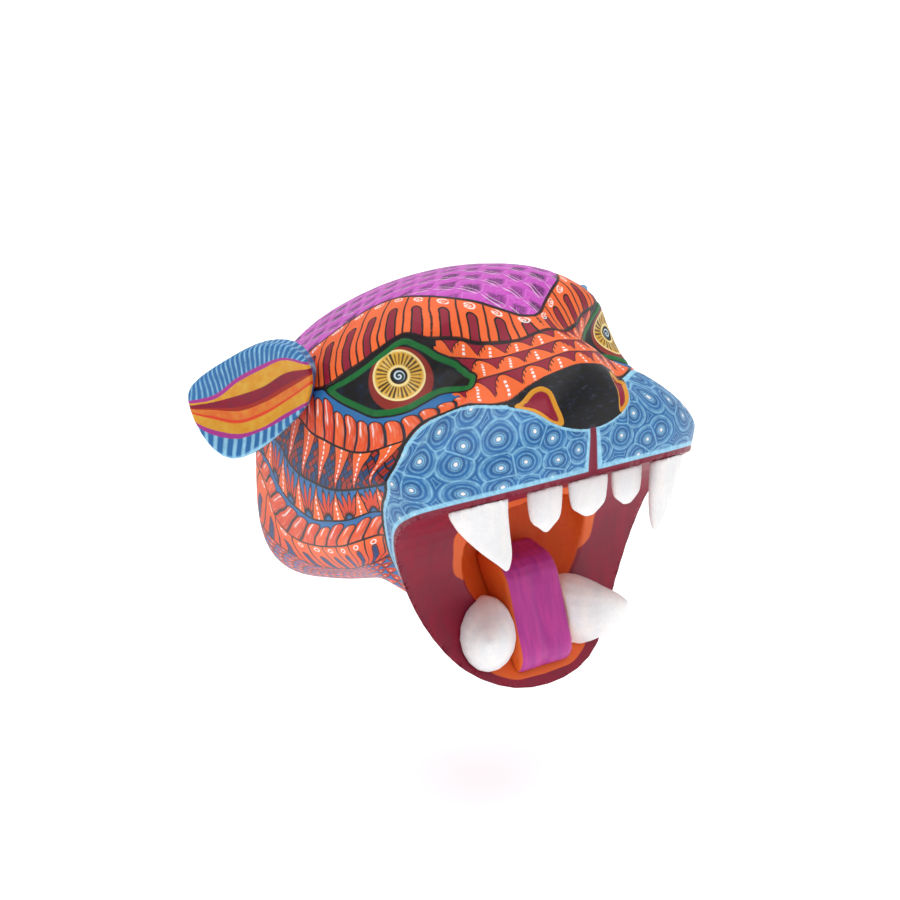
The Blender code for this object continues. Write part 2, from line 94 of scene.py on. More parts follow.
class Paint(Enum):
    """The pots of acrylic paint on the painter's table, and the tones of bare wood and zinc."""

    INK = shade("#140D12")
    ORCHID = shade("#C44DBB")
    LILAC = shade("#E6A0E6")
    PLUM = shade("#4F1656")
    ORANGE = shade("#F0692F")
    VERMILION = shade("#DC4526")
    BRICK = shade("#A32A1E")
    MAROON = shade("#8E1531")
    WINE = shade("#7C1C33")
    BLUE = shade("#2C6CA8")
    NAVY = shade("#1C3F74")
    SKY = shade("#9AD4EE")
    WHITE = shade("#F6F1EE")
    PINK = shade("#F7B7A4")
    GREEN = shade("#10692F")
    GOLD = shade("#D9A63A")
    CREAM = shade("#F0DFA0")
    RUST = shade("#8A2A22")
    MAGENTA = shade("#A9358F")
    ROSE = shade("#D2489A")
    OCHRE = shade("#D79327")
    BLACK = shade("#0B090A")
    ENAMEL = shade("#E8E8EA")
    THROAT = shade("#DB6126")
    COPAL = shade("#D9B98A")
    DARK_COPAL = shade("#9C7444")
    ZINC = shade("#C9CACA")
    DULL_ZINC = shade("#8F8C84")


# ----------------------------------------------------------------- node bench

class Term:
    """One value on the node bench; ordinary arithmetic on it lays out Math nodes."""

    def __init__(self, bench: "Bench", socket: bpy.types.NodeSocket) -> None:
        """Hold the socket and the bench it lies on."""
        self.bench, self.socket = bench, socket

    def __add__(self, other: "Term | float") -> "Term":
        """Sum."""
        return self.bench.math("ADD", self, other)

    def __sub__(self, other: "Term | float") -> "Term":
        """Difference."""
        return self.bench.math("SUBTRACT", self, other)

    def __rsub__(self, other: float) -> "Term":
        """Difference from a number."""
        return self.bench.math("SUBTRACT", other, self)

    def __mul__(self, other: "Term | float") -> "Term":
        """Product."""
        return self.bench.math("MULTIPLY", self, other)

    def __truediv__(self, other: "Term | float") -> "Term":
        """Quotient."""
        return self.bench.math("DIVIDE", self, other)

    def __neg__(self) -> "Term":
        """Opposite."""
        return self.bench.math("MULTIPLY", self, -1.0)

    def __abs__(self) -> "Term":
        """Size without sign."""
        return self.bench.math("ABSOLUTE", self)

    __radd__ = __add__
    __rmul__ = __mul__


class Bench:
    """Lays out and joins the nodes of one group or material."""

    def __init__(self, tree: bpy.types.NodeTree) -> None:
        """Start on an empty tree."""
        self.tree = tree

    def node(self, kind: str, **settings: object) -> bpy.types.Node:
        """Add one node with its settings."""
        node = self.tree.nodes.new(kind)
        for name, value in settings.items():
            setattr(node, name, value)
        return node

    def put(self, socket: bpy.types.NodeSocket, value: object) -> None:
        """Link a term to a socket, or set the socket to a number or colour."""
        if isinstance(value, Term):
            self.tree.links.new(value.socket, socket)
        elif isinstance(value, Paint):
            socket.default_value = value.value
        else:
            socket.default_value = value

    def math(self, operation: str, *values: "Term | float") -> Term:
        """Add one Math node."""
        node = self.node("ShaderNodeMath", operation=operation)
        for socket, value in zip(node.inputs, values):
            self.put(socket, value)
        return Term(self, node.outputs[0])

    def split(self, vector: Term) -> tuple[Term, Term, Term]:
        """Take a vector apart."""
        node = self.node("ShaderNodeSeparateXYZ")
        self.put(node.inputs[0], vector)
        return tuple(Term(self, socket) for socket in node.outputs)

    def join(self, x: "Term | float", y: "Term | float", z: "Term | float" = 0.0) -> Term:
        """Put a vector together."""
        node = self.node("ShaderNodeCombineXYZ")
        for socket, value in zip(node.inputs, (x, y, z)):
            self.put(socket, value)
        return Term(self, node.outputs[0])

    def place(self) -> Term:
        """Return the object coordinates."""
        return Term(self, self.node("ShaderNodeTexCoord").outputs["Object"])

    def attribute(self, name: str) -> Term:
        """Return a vector stored on the piece."""
        return Term(self, self.node("ShaderNodeAttribute", attribute_name=name).outputs["Vector"])

    def noise(self, vector: Term, scale: float, detail: float = 2.0) -> Term:
        """Return soft noise between 0 and 1, evened out round 0.5."""
        node = self.node("ShaderNodeTexNoise")
        for name, value in (("Vector", vector), ("Scale", scale), ("Detail", detail)):
            self.put(node.inputs[name], value)
        return Term(self, node.outputs[0])

    def chance(self, first: Term, second: "Term | float" = 0.0) -> Term:
        """Return one random number for each pair of whole numbers."""
        node = self.node("ShaderNodeTexWhiteNoise", noise_dimensions="2D")
        self.put(node.inputs["Vector"], self.join(first, second))
        return Term(self, node.outputs["Value"])

    def cells(self, vector: Term, feature: str, randomness: float) -> bpy.types.Node:
        """Return a flat Voronoi node."""
        node = self.node("ShaderNodeTexVoronoi", voronoi_dimensions="2D", feature=feature)
        self.put(node.inputs["Vector"], vector)
        self.put(node.inputs["Scale"], 1.0)
        self.put(node.inputs["Randomness"], randomness)
        return node

    def rise(self, value: Term, low: "Term | float", high: "Term | float") -> Term:
        """Go from 0 to 1 as the value goes from low to high."""
        node = self.node("ShaderNodeMapRange", clamp=True)
        for name, entry in (("Value", value), ("From Min", low), ("From Max", high)):
            self.put(node.inputs[name], entry)
        return Term(self, node.outputs[0])

    def mix(self, under: "Term | Paint", over: "Term | Paint", cover: "Term | float") -> Term:
        """Paint one colour over another."""
        node = self.node("ShaderNodeMix", data_type="RGBA")
        self.put(node.inputs[0], cover)
        self.put(node.inputs[6], under)
        self.put(node.inputs[7], over)
        return Term(self, node.outputs[2])

    def line(self, distance: Term, half_width: float, soft: float = 0.15) -> Term:
        """Return the cover of a brush line."""
        return 1.0 - self.rise(abs(distance), half_width - soft, half_width + soft)

    def within(self, distance: Term, soft: float = 0.15) -> Term:
        """Return the cover of an area whose signed distance is negative inside."""
        return 1.0 - self.rise(distance, -soft, soft)

    def over(self, value: Term, level: "Term | float") -> Term:
        """Return 1 where the value is above the level."""
        return self.math("GREATER_THAN", value, level)

    def floor(self, value: Term) -> Term:
        """Return the whole number below."""
        return self.math("FLOOR", value)

    def fract(self, value: Term) -> Term:
        """Return what is left above the whole number."""
        return self.math("FRACT", value)

    def largest(self, *values: "Term | float") -> Term:
        """Return the largest value."""
        result = values[0]
        for value in values[1:]:
            result = self.math("MAXIMUM", result, value)
        return result

    def smallest(self, *values: "Term | float") -> Term:
        """Return the smallest value."""
        result = values[0]
        for value in values[1:]:
            result = self.math("MINIMUM", result, value)
        return result

    def length(self, x: Term, y: Term) -> Term:
        """Return the length of a flat vector."""
        return self.math("SQRT", x * x + y * y)

    def bump(self, height: Term, strength: float) -> Term:
        """Return the normal of a surface whose height in metres varies."""
        node = self.node("ShaderNodeBump")
        for name, value in (("Strength", strength), ("Distance", 1.0), ("Height", height)):
            self.put(node.inputs[name], value)
        return Term(self, node.outputs[0])

    def call(self, group: bpy.types.NodeTree, **values: object) -> dict[str, Term]:
        """Use a node group.

        Args:
            group: The shader node group.
            values: What goes into its inputs, by input name.

        Returns:
            Its outputs by name.
        """
        node = self.node("ShaderNodeGroup", node_tree=group)
        for name, value in values.items():
            self.put(node.inputs[name], value)
        return {socket.name: Term(self, socket) for socket in node.outputs}


SOCKETS = {"Color": "NodeSocketColor", "Relief": "NodeSocketFloat", "Roughness": "NodeSocketFloat",
           "Pattern": "NodeSocketVector", "Edges": "NodeSocketVector", "Normal": "NodeSocketVector"}


class Group:
    """A named shader node group under construction."""

    def __init__(self, name: str, inputs: tuple[str, ...], outputs: tuple[str, ...]) -> None:
        """Open the group with its named inputs and outputs."""
        self.tree = bpy.data.node_groups.new(name, "ShaderNodeTree")
        for names, direction in ((inputs, "INPUT"), (outputs, "OUTPUT")):
            for label in names:
                self.tree.interface.new_socket(label, in_out=direction, socket_type=SOCKETS[label])
        self.bench = Bench(self.tree)
        entry = self.bench.node("NodeGroupInput")
        self.given = {label: Term(self.bench, entry.outputs[label]) for label in inputs}
        self.exit = self.bench.node("NodeGroupOutput")

    def close(self, **values: object) -> bpy.types.NodeTree:
        """Join the results to the outputs and return the tree."""
        for label, value in values.items():
            self.bench.put(self.exit.inputs[label], value)
        return self.tree


class SharedEffects:
    """Groups that more than one finish uses, each made once."""

    made: dict[str, bpy.types.NodeTree] = {}
    line_height, stroke_height, tool_height = 0.00012, 0.00006, 0.0003
    bump_strength, roughness = 0.6, 0.36

    @classmethod
    def acrylic(cls) -> bpy.types.NodeTree:
        """Return satin brushed acrylic over carved wood: tone, gloss and fine relief."""
        if "acrylic" not in cls.made:
            group = Group("brushed_acrylic", ("Color", "Relief"), ("Color", "Roughness", "Normal"))
            bench = group.bench
            place = bench.place()
            soft = bench.noise(place, 55.0, 3.0)
            x, y, z = bench.split(place)
            strokes = bench.noise(bench.join(x * 3.0, y, z * 0.8), 900.0, 3.0)
            tone = bench.rise(soft, 0.3, 0.7) * 0.5 + bench.rise(strokes, 0.3, 0.7) * 0.5
            hue = bench.node("ShaderNodeHueSaturation")
            bench.put(hue.inputs["Color"], group.given["Color"])
            bench.put(hue.inputs["Value"], tone * 0.2 + 0.9)
            height = (group.given["Relief"] * cls.line_height + strokes * cls.stroke_height
                      + soft * cls.tool_height)
            cls.made["acrylic"] = group.close(
                Color=Term(bench, hue.outputs[0]), Normal=bench.bump(height, cls.bump_strength),
                Roughness=strokes * 0.16 + group.given["Relief"] * -0.05 + cls.roughness)
        return cls.made["acrylic"]


# ------------------------------------------------------------ measuring lines

def hermite(t: "float | np.ndarray") -> tuple:
    """Return the shares of a smooth step's first place and slope and last place and slope."""
    return 2 * t**3 - 3 * t**2 + 1, t**3 - 2 * t**2 + t, 3 * t**2 - 2 * t**3, t**3 - t**2


def smooth_line(points: Points, count: int, closed: bool = False) -> np.ndarray:
    """Draw a smooth curve through points.

    Args:
        points: Control points in order.
        count: How many evenly spaced places to return.
        closed: Whether the curve runs back into its first point.

    Returns:
        The places, one row each.
    """
    table = np.array(points, float)
    overlap = 3 if closed else 0
    if closed:
        table = np.vstack([table[-overlap:], table, table[:overlap + 1]])
    reach = np.concatenate([[0.0], np.cumsum(np.linalg.norm(np.diff(table, axis=0), axis=1))])
    slopes = np.gradient(table, reach, axis=0)
    first, last = (reach[overlap], reach[len(table) - overlap - 1]) if closed else (0.0, reach[-1])
    places = np.linspace(first, last, count)
    index = np.clip(np.searchsorted(reach, places, "right") - 1, 0, len(table) - 2)
    gap = (reach[index + 1] - reach[index])[:, None]
    t = ((places - reach[index])[:, None]) / gap
    ends = table[index], gap * slopes[index], table[index + 1], gap * slopes[index + 1]
    return sum(share * end for share, end in zip(hermite(t), ends))


def right_side(points: np.ndarray) -> np.ndarray:
    """Fold points on the animal's left over to its right."""
    folded = points.copy()
    folded[:, 0] = -np.abs(folded[:, 0])
    return folded


def to_carving(places: np.ndarray) -> np.ndarray:
    """Turn row frame metres into carving millimetres."""
    return places / MM + (0.0, 0.0, HOOK_HEIGHT)


@dataclass(frozen=True)
class PaintedEdge:
    """A line painted on the carving, with the side that counts as inside."""

    points: Points
    inside: tuple[float, float, float]
    closed: bool = False
    spacing: float = 0.8

    def distance(self, points: np.ndarray, surface: KDTree, normals: np.ndarray) -> np.ndarray:
        """Measure how far points lie from the line.

        Args:
            points: Places on the animal's right side.
            surface: Tree of the carving's points.
            normals: Outward directions of those points.

        Returns:
            Millimetres, positive on the inside.
        """
        rough = np.linalg.norm(np.diff(np.array(self.points), axis=0), axis=1).sum()
        line = smooth_line(self.points, int(rough / self.spacing) + 2, self.closed)
        along = np.gradient(line, axis=0)
        along /= np.linalg.norm(along, axis=1)[:, None]
        outward = np.array([normals[surface.find(place)[1]] for place in line])
        across = np.cross(outward, along)
        across /= np.maximum(np.linalg.norm(across, axis=1), 1e-6)[:, None]
        tree = KDTree(len(line))
        for index, place in enumerate(line):
            tree.insert(place, index)
        tree.balance()

        def signed(place: np.ndarray) -> float:
            """Measure one place."""
            _, index, far = tree.find(place)
            offset = place - line[index]
            sideways = float(offset @ across[index])
            return math.copysign(far, sideways) if far > 5.0 else sideways

        sense = math.copysign(1.0, signed(np.array(self.inside)))
        return sense * np.array([signed(place) for place in points])


@dataclass(frozen=True)
class PaintPatch:
    """A field of pattern bands between rows of points, read as places along and across the bands."""

    rows: tuple[Points, ...]
    stations: int = 80
    steps: int = 6
    curved: bool = True

    def sheet(self) -> tuple[np.ndarray, np.ndarray]:
        """Return the places of the field's own sheet and the width of each band at each station."""
        lines = np.array([smooth_line(row, self.stations) for row in self.rows])
        widths = np.linalg.norm(np.diff(lines, axis=0), axis=2)
        slopes = np.gradient(lines, axis=0) if self.curved and len(lines) > 2 else None
        sheet = []
        for band in range(len(lines) - 1):
            for step in range(self.steps):
                t = step / self.steps
                if slopes is None:
                    sheet.append((1 - t) * lines[band] + t * lines[band + 1])
                else:
                    shares = hermite(t)
                    ends = lines[band], slopes[band], lines[band + 1], slopes[band + 1]
                    sheet.append(sum(share * end for share, end in zip(shares, ends)))
        sheet.append(lines[-1])
        return np.array(sheet), widths

    def read(self, points: np.ndarray) -> np.ndarray:
        """Read the field at points.

        Args:
            points: Places on the animal's right side.

        Returns:
            For each point the millimetres along the bands, the band level, and the band's width.
        """
        sheet, widths = self.sheet()
        levels, stations = sheet.shape[:2]
        mean_length = np.linalg.norm(np.diff(sheet, axis=1), axis=2).sum(axis=1).mean()
        along = np.linspace(0.0, mean_length, stations)
        values = np.zeros((levels, stations, 3))
        values[..., 0] = along
        values[..., 1] = (np.arange(levels) / self.steps)[:, None]
        for level in range(levels):
            values[level, :, 2] = widths[min(level // self.steps, len(widths) - 1)]
        flat, values = sheet.reshape(-1, 3), values.reshape(-1, 3)
        corners = np.arange(levels * stations).reshape(levels, stations)
        quads = np.stack([corners[:-1, :-1], corners[:-1, 1:], corners[1:, 1:], corners[1:, :-1]], -1)
        quads = quads.reshape(-1, 4)
        triangles = np.vstack([quads[:, [0, 1, 2]], quads[:, [0, 2, 3]]])
        tree = BVHTree.FromPolygons(flat.tolist(), triangles.tolist(), all_triangles=True)
        hits = [tree.find_nearest(place) for place in points.tolist()]
        places = np.array([hit[0] for hit in hits])
        corner = triangles[[hit[2] for hit in hits]]
        a, b, c = (flat[corner[:, index]] for index in range(3))
        first, second, offset = b - a, c - a, places - a
        d00, d01, d11 = (first * first).sum(1), (first * second).sum(1), (second * second).sum(1)
        d20, d21 = (offset * first).sum(1), (offset * second).sum(1)
        scale = np.maximum(d00 * d11 - d01 * d01, 1e-9)
        v, w = (d11 * d20 - d01 * d21) / scale, (d00 * d21 - d01 * d20) / scale
        parts = np.clip(np.stack([1 - v - w, v, w], 1), 0.0, 1.0)
        return (values[corner] * parts[..., None]).sum(1)


def write_vectors(mesh: bpy.types.Mesh, name: str, values: np.ndarray) -> None:
    """Store one vector on each point of a mesh."""
    layer = mesh.attributes.new(name, "FLOAT_VECTOR", "POINT")
    layer.data.foreach_set("vector", np.ascontiguousarray(values, np.float32).ravel())


def read_vectors(mesh: bpy.types.Mesh) -> np.ndarray:
    """Return the places of a mesh's points in metres."""
    places = np.empty(len(mesh.vertices) * 3)
    mesh.vertices.foreach_get("co", places)
    return places.reshape(-1, 3)


def read_normals(mesh: bpy.types.Mesh) -> np.ndarray:
    """Return the outward directions of a mesh's points."""
    normals = np.empty(len(mesh.vertices) * 3)
    mesh.vertex_normals.foreach_get("vector", normals)
    return normals.reshape(-1, 3)


@dataclass(frozen=True)
class Carver:
    """Works a merged copy of a CAD node into an evenly meshed, softly rounded carving."""

    grain: float = 1.1
    smoothing: int = 4

    def copy(self, node: bpy.types.Object, name: str) -> bpy.types.Object:
        """Copy a node's solid and carve it over.

        Args:
            node: The CAD node's object.
            name: What the new piece is called.

        Returns:
            The new piece, at the origin.
        """
        mesh = node.data.copy()
        mesh.name = name
        mesh.materials.clear()
        piece = bpy.data.objects.new(name, mesh)
        bpy.context.scene.collection.objects.link(piece)
        bpy.ops.object.select_all(action="DESELECT")
        piece.select_set(True)
        bpy.context.view_layer.objects.active = piece
        bpy.ops.object.mode_set(mode="EDIT")
        bpy.ops.mesh.select_all(action="SELECT")
        bpy.ops.mesh.remove_doubles(threshold=1e-6)
        bpy.ops.object.mode_set(mode="OBJECT")
        remesh = piece.modifiers.new("even_mesh", "REMESH")
        remesh.mode = "VOXEL"
        remesh.voxel_size = self.grain * MM
        bpy.ops.object.modifier_apply(modifier=remesh.name)
        soften = piece.modifiers.new("sanded", "SMOOTH")
        soften.factor = 0.5
        soften.iterations = self.smoothing
        bpy.ops.object.modifier_apply(modifier=soften.name)
        piece.data.shade_smooth()
        piece.select_set(False)
        return piece


# ------------------------------------------------------------ painted motifs

class Motif:
    """A painted pattern: a node group that turns the stored values into colour and relief."""

    name = "motif"

    def tree(self) -> bpy.types.NodeTree:
        """Lay out the group."""
        group = Group(self.name, ("Pattern", "Edges"), ("Color", "Relief"))
        colour, relief = self.paint(group.bench, group.given["Pattern"], group.given["Edges"])
        return group.close(Color=colour, Relief=relief)

    def paint(self, bench: Bench, pattern: Term, edges: Term) -> tuple[Term, Term]:
        """Lay out the pattern.

        Args:
            bench: Where the nodes go.
            pattern: The stored pattern vector.
            edges: The stored distances to the field's edges.

        Returns:
            Colour and paint relief.
        """
        raise NotImplementedError


def dashes(bench: Bench, along: Term, across: Term, half_width: float, period: float) -> Term:
    """Return a row of white dashes that thin out towards their end."""
    beat = bench.fract(along / period)
    return bench.line(across, half_width) * (1.0 - bench.rise(beat, 0.62, 0.78)) * bench.rise(beat, 0.0, 0.12)


class CrownScales(Motif):
    """Orchid scales in staggered rows, hatched plum in the middle, with thin lilac strokes."""

    name = "crown_scales"
    row, pitch = 9.0, 12.5
    wander = 4.0

    def paint(self, bench: Bench, pattern: Term, edges: Term) -> tuple[Term, Term]:
        """Lay out scales, hatching, strokes and the black border."""
        u, v, _ = bench.split(pattern)
        border, _, _ = bench.split(edges)
        place = bench.place()
        u = u + (bench.noise(place, 90.0, 1.0) - 0.5) * self.wander
        v = v + (bench.noise(place, 70.0, 1.0) - 0.5) * self.wander
        rank = bench.floor(v / self.row)
        fv = bench.fract(v / self.row)
        cu = u / self.pitch + rank * 0.5
        dx = (bench.fract(cu) - 0.5) * self.pitch
        luck = bench.chance(bench.floor(cu), rank)
        hatch = bench.noise(bench.join(u * 0.35 + v * 0.35, v * 1.9 - u * 1.3), 1.0, 2.0)
        blob = abs(dx + (fv - 0.5) * 2.6) / 6.0 + abs(fv - 0.5) * 1.9
        patch = (1.0 - bench.rise(blob, 0.6, 1.0)) * bench.rise(hatch, 0.3, 0.5) * (luck * 0.4 + 0.6)
        streaks = bench.noise(bench.join(u * 0.25, v * 1.2), 1.0, 3.0)
        colour = bench.mix(Paint.ORCHID, Paint.LILAC, bench.rise(streaks, 0.52, 0.8) * 0.45)
        colour = bench.mix(colour, Paint.PLUM, patch)
        arc = fv * self.row - dx * dx * 0.085 - 0.6
        colour = bench.mix(colour, Paint.LILAC, bench.line(arc, 0.3, 0.4) * 0.3)
        slant = dx + 3.6 + (fv - 0.5) * 5.0
        slant = bench.smallest(abs(slant), abs(slant - 2.2) + 0.12)
        stroke = bench.line(slant, 0.28, 0.2) * bench.rise(fv, 0.0, 0.2) * (1.0 - bench.rise(fv, 0.8, 1.0))
        colour = bench.mix(colour, Paint.WHITE, stroke * 0.6)
        ink = bench.line(border, 0.75, 0.2)
        return bench.mix(colour, Paint.INK, ink), patch * 0.4 + stroke + ink


class BrowPanels(Motif):
    """Orange panels with maroon slots below a white swirl each, between black dividing lines."""

    name = "brow_panels"
    pitch, slot_top, slot_half = 13.2, 0.36, 1.9

    def paint(self, bench: Bench, pattern: Term, edges: Term) -> tuple[Term, Term]:
        """Lay out panels, slots and swirls."""
        u, level, width = bench.split(pattern)
        crown, brow, _ = bench.split(edges)
        place = bench.place()
        wander = (bench.noise(place, 80.0, 1.0) - 0.5) * 2.4
        cu = (u + wander) / self.pitch
        cell = bench.floor(cu)
        luck = bench.chance(cell, 3.0)
        dx = (bench.fract(cu) - 0.5) * self.pitch
        down = level * width
        cloud = bench.rise(bench.noise(place, 60.0, 3.0), 0.45, 0.8)
        colour = bench.mix(Paint.ORANGE, Paint.VERMILION, cloud * 0.5)
        top = width * self.slot_top
        slot = bench.length(dx, bench.largest(top - down + 1.5, 0.0)) - self.slot_half
        outline = bench.line(slot - 0.45, 0.5) * (1.0 - bench.rise(down - width, -0.5, 0.0))
        colour = bench.mix(colour, Paint.MAROON, bench.within(slot))
        colour = bench.mix(colour, Paint.INK, outline)
        oval = bench.length(dx / 2.9, (down - 2.9) / 1.8)
        curl = bench.length((dx - 0.5) / 1.3, (down - 3.1) / 0.8)
        swirl = bench.largest(bench.line(oval - 0.85, 0.17, 0.1), bench.line(curl - 0.7, 0.25, 0.15))
        worn = bench.rise(bench.noise(place, 700.0, 2.0), 0.35, 0.5)
        colour = bench.mix(colour, Paint.WHITE, swirl * worn * 0.95)
        edge = self.pitch * 0.5 - abs(dx)
        divider = bench.line(edge, 0.55) * (1.0 - bench.rise(bench.noise(place, 350.0, 1.0), 0.7, 0.8) * 0.4)
        ink = bench.largest(divider, bench.line(crown, 0.75, 0.2), bench.line(brow, 1.0, 0.25))
        return bench.mix(colour, Paint.INK, ink * (luck * 0.1 + 0.9)), ink + swirl


class BridgeFans(Motif):
    """Orange fans over maroon wedges on the bridge of the nose, with black feathering and white dots."""

    name = "bridge_fans"
    pitch, rows_per_band, bulge = 13.0, 1.5, 0.72

    def paint(self, bench: Bench, pattern: Term, edges: Term) -> tuple[Term, Term]:
        """Lay out staggered fans."""
        u, level, width = bench.split(pattern)
        brow, eye, muzzle = bench.split(edges)
        place = bench.place()
        u = u + (bench.noise(place, 100.0, 1.0) - 0.5) * 2.5
        scaled = level * self.rows_per_band
        rank = bench.floor(scaled)
        fw = bench.fract(scaled)
        height = width / self.rows_per_band
        cu = u / self.pitch + rank * 0.5
        dx = (bench.fract(cu) - 0.5) * self.pitch
        fan = fw - (dx * dx) * (self.bulge / (0.25 * self.pitch * self.pitch)) - 0.06
        colour = bench.mix(Paint.MAROON, Paint.ORANGE, bench.rise(fan * height, -0.15, 0.15))
        feather = bench.fract((dx + 40.0) / 1.6)
        strokes = bench.line(feather - 0.5, 0.16, 0.1) * bench.line(fan * height - 1.1, 1.0, 0.3)
        gate = bench.over(bench.fract(dx / self.pitch + 0.5), 0.62)
        border = bench.line(bench.fract(scaled + 0.5) - 0.5, 0.03, 0.02)
        ink = bench.largest(bench.line(fan * height, 0.35), strokes * gate, border)
        beads = dashes(bench, fw * height, dx + 0.8 - fw * 1.6, 0.6, 2.1) * bench.rise(fw, 0.25, 0.35) * (
            1.0 - bench.rise(fw, 0.85, 0.95))
        colour = bench.mix(colour, Paint.WHITE, beads * 0.95)
        ink = bench.largest(ink, bench.line(brow, 1.0, 0.25), bench.line(muzzle + 1.0, 0.7, 0.2),
                            bench.line(eye, 0.6, 0.2))
        colour = bench.mix(colour, Paint.INK, ink)
        return bench.mix(colour, Paint.SKY, bench.within(-0.35 - muzzle)), ink + beads


class CheekBands(Motif):
    """Six cheek bands: fingers, hanging spikes, triangles with petals, slanted fingers, panels, scallops."""

    name = "cheek_bands"
    upright_pitch, slanted_pitch, lean = 8.6, 10.0, 0.6
    last_line, open_edge = 5.3, 0.004

    def fingers(self, bench: Bench, u: Term, w: Term, width: Term, pitch: float) -> tuple[Term, Term]:
        """Return colour and ink of rounded fingers that stand on the band's lower line."""
        cu = u / pitch
        dx = (bench.fract(cu) - 0.5) * pitch
        luck = bench.chance(bench.floor(cu), 7.0)
        top = width * (0.12 + luck * 0.14) + 2.2
        half = pitch * 0.5 - 0.35
        tip = bench.length(dx / half, bench.largest(top - w * width, 0.0) / 2.6) - 1.0
        down = w * width
        streak = bench.noise(bench.join(dx * 0.9 + luck * 5.0, down * 0.11 + luck * 9.0), 1.0, 1.0)
        tone = bench.mix(Paint.VERMILION, Paint.ORANGE, luck * 0.8)
        tone = bench.mix(tone, Paint.BRICK, bench.rise(dx, half * 0.35, half) * 0.6)
        light = bench.line(dx + half * 0.38 + (streak - 0.5) * 3.0, 0.45, 0.35) * bench.within(tip + 0.25)
        light = light * (1.0 - bench.rise(down - width * 0.62 + luck * 2.0, -1.0, 1.5))
        tone = bench.mix(tone, Paint.PINK, bench.rise(streak, 0.52, 0.72) * 0.35)
        tone = bench.mix(tone, Paint.WHITE, light * 0.8)
        colour = bench.mix(Paint.BLUE, tone, bench.within(tip, 0.06))
        return colour, bench.line(tip, 0.11, 0.07)

    def spikes(self, bench: Bench, u: Term, w: Term, width: Term) -> tuple[Term, Term]:
        """Return colour and ink of hanging spikes over a small diamond net."""
        pitch, net = 15.0, 4.2
        cu = u / pitch + 0.3
        dx = (bench.fract(cu) - 0.5) * pitch
        down = w * width
        spike = abs(dx) - (1.0 - w * 0.96) * (pitch * 0.40)
        first, second = bench.fract((u + down) / net), bench.fract((u - down) / net)
        lines = bench.largest(bench.line(first - 0.5, 0.1, 0.05), bench.line(second - 0.5, 0.1, 0.05))
        diamond = bench.floor((u + down) / net + 0.5), bench.floor((u - down) / net + 0.5)
        check = bench.over(bench.chance(*diamond), 0.5)
        colour = bench.mix(Paint.NAVY, Paint.BRICK, check)
        tone = bench.mix(Paint.ORANGE, Paint.VERMILION, w)
        colour = bench.mix(colour, tone, bench.within(spike))
        white = dashes(bench, down, dx, 0.5, 2.6) * (1.0 - bench.rise(w, 0.7, 0.85))
        colour = bench.mix(colour, Paint.WHITE, white * 0.95)
        ink = bench.largest(lines * bench.rise(spike, 0.0, 0.3), bench.line(spike, 0.4))
        return colour, ink

    def petals(self, bench: Bench, u: Term, w: Term, width: Term) -> tuple[Term, Term]:
        """Return colour and ink of standing triangles between fans of red petals on blue."""
        pitch = 17.0
        cu = u / pitch
        dx = (bench.fract(cu) - 0.5) * pitch
        down = w * width
        peak = abs(dx) - w * (pitch * 0.3)
        side = pitch * 0.5 - abs(dx)
        root = width * 0.96 - down
        angle = bench.math("ARCTAN2", side, root)
        radius = bench.length(side, root)
        spoke = bench.fract(angle * 2.6) - 0.5
        leaf = bench.length(spoke * radius * 0.38 / 1.35, (radius - width * 0.52) / (width * 0.36)) - 1.0
        colour = bench.mix(Paint.BLUE, Paint.VERMILION, bench.within(leaf, 0.08))
        ink = bench.line(leaf, 0.16, 0.1)
        colour = bench.mix(colour, Paint.ORANGE, bench.within(peak))
        ink = bench.largest(ink * bench.rise(peak, 0.0, 0.3), bench.line(peak, 0.4))
        white = dashes(bench, down, dx, 0.55, 2.8) * bench.within(peak + 1.3)
        return bench.mix(colour, Paint.WHITE, white * 0.9), ink

    def panels(self, bench: Bench, u: Term, w: Term, width: Term) -> tuple[Term, Term]:
        """Return colour and ink of slanted panels with a white ring and a blue slot each."""
        pitch = 12.5
        down = w * width
        cu = (u + down * 0.35) / pitch
        dx = (bench.fract(cu) - 0.5) * pitch
        ring = bench.length(dx / 2.2, (down - 3.2) / 1.5)
        colour = bench.mix(Paint.ORANGE, Paint.VERMILION, w)
        slot = bench.length(dx, bench.largest(width * 0.5 - down, 0.0)) - 1.5
        colour = bench.mix(colour, Paint.NAVY, bench.within(slot))
        colour = bench.mix(colour, Paint.WHITE, bench.line(ring - 0.8, 0.2, 0.12) * 0.9)
        return colour, bench.largest(bench.line(pitch * 0.5 - abs(dx), 0.5), bench.line(slot - 0.4, 0.35))

    def scallops(self, bench: Bench, u: Term, w: Term) -> tuple[Term, Term]:
        """Return colour and ink of small scallops in close rows."""
        pitch = 8.0
        rows = w * 7.0
        rank = bench.floor(rows)
        cu = u / pitch + rank * 0.5
        dx = bench.fract(cu) - 0.5
        arc = bench.fract(rows) - (1.0 - dx * dx * 3.4) * 0.92
        luck = bench.chance(bench.floor(cu), rank)
        colour = bench.mix(Paint.VERMILION, Paint.BRICK, luck)
        colour = bench.mix(colour, Paint.BLUE, bench.rise(arc, -0.02, 0.02))
        dot = bench.length(dx * 8.0, (bench.fract(rows) - 0.5) * 8.0) - 0.9
        return bench.mix(colour, Paint.PINK, bench.within(dot, 0.3) * 0.8), bench.line(arc, 0.07, 0.04)

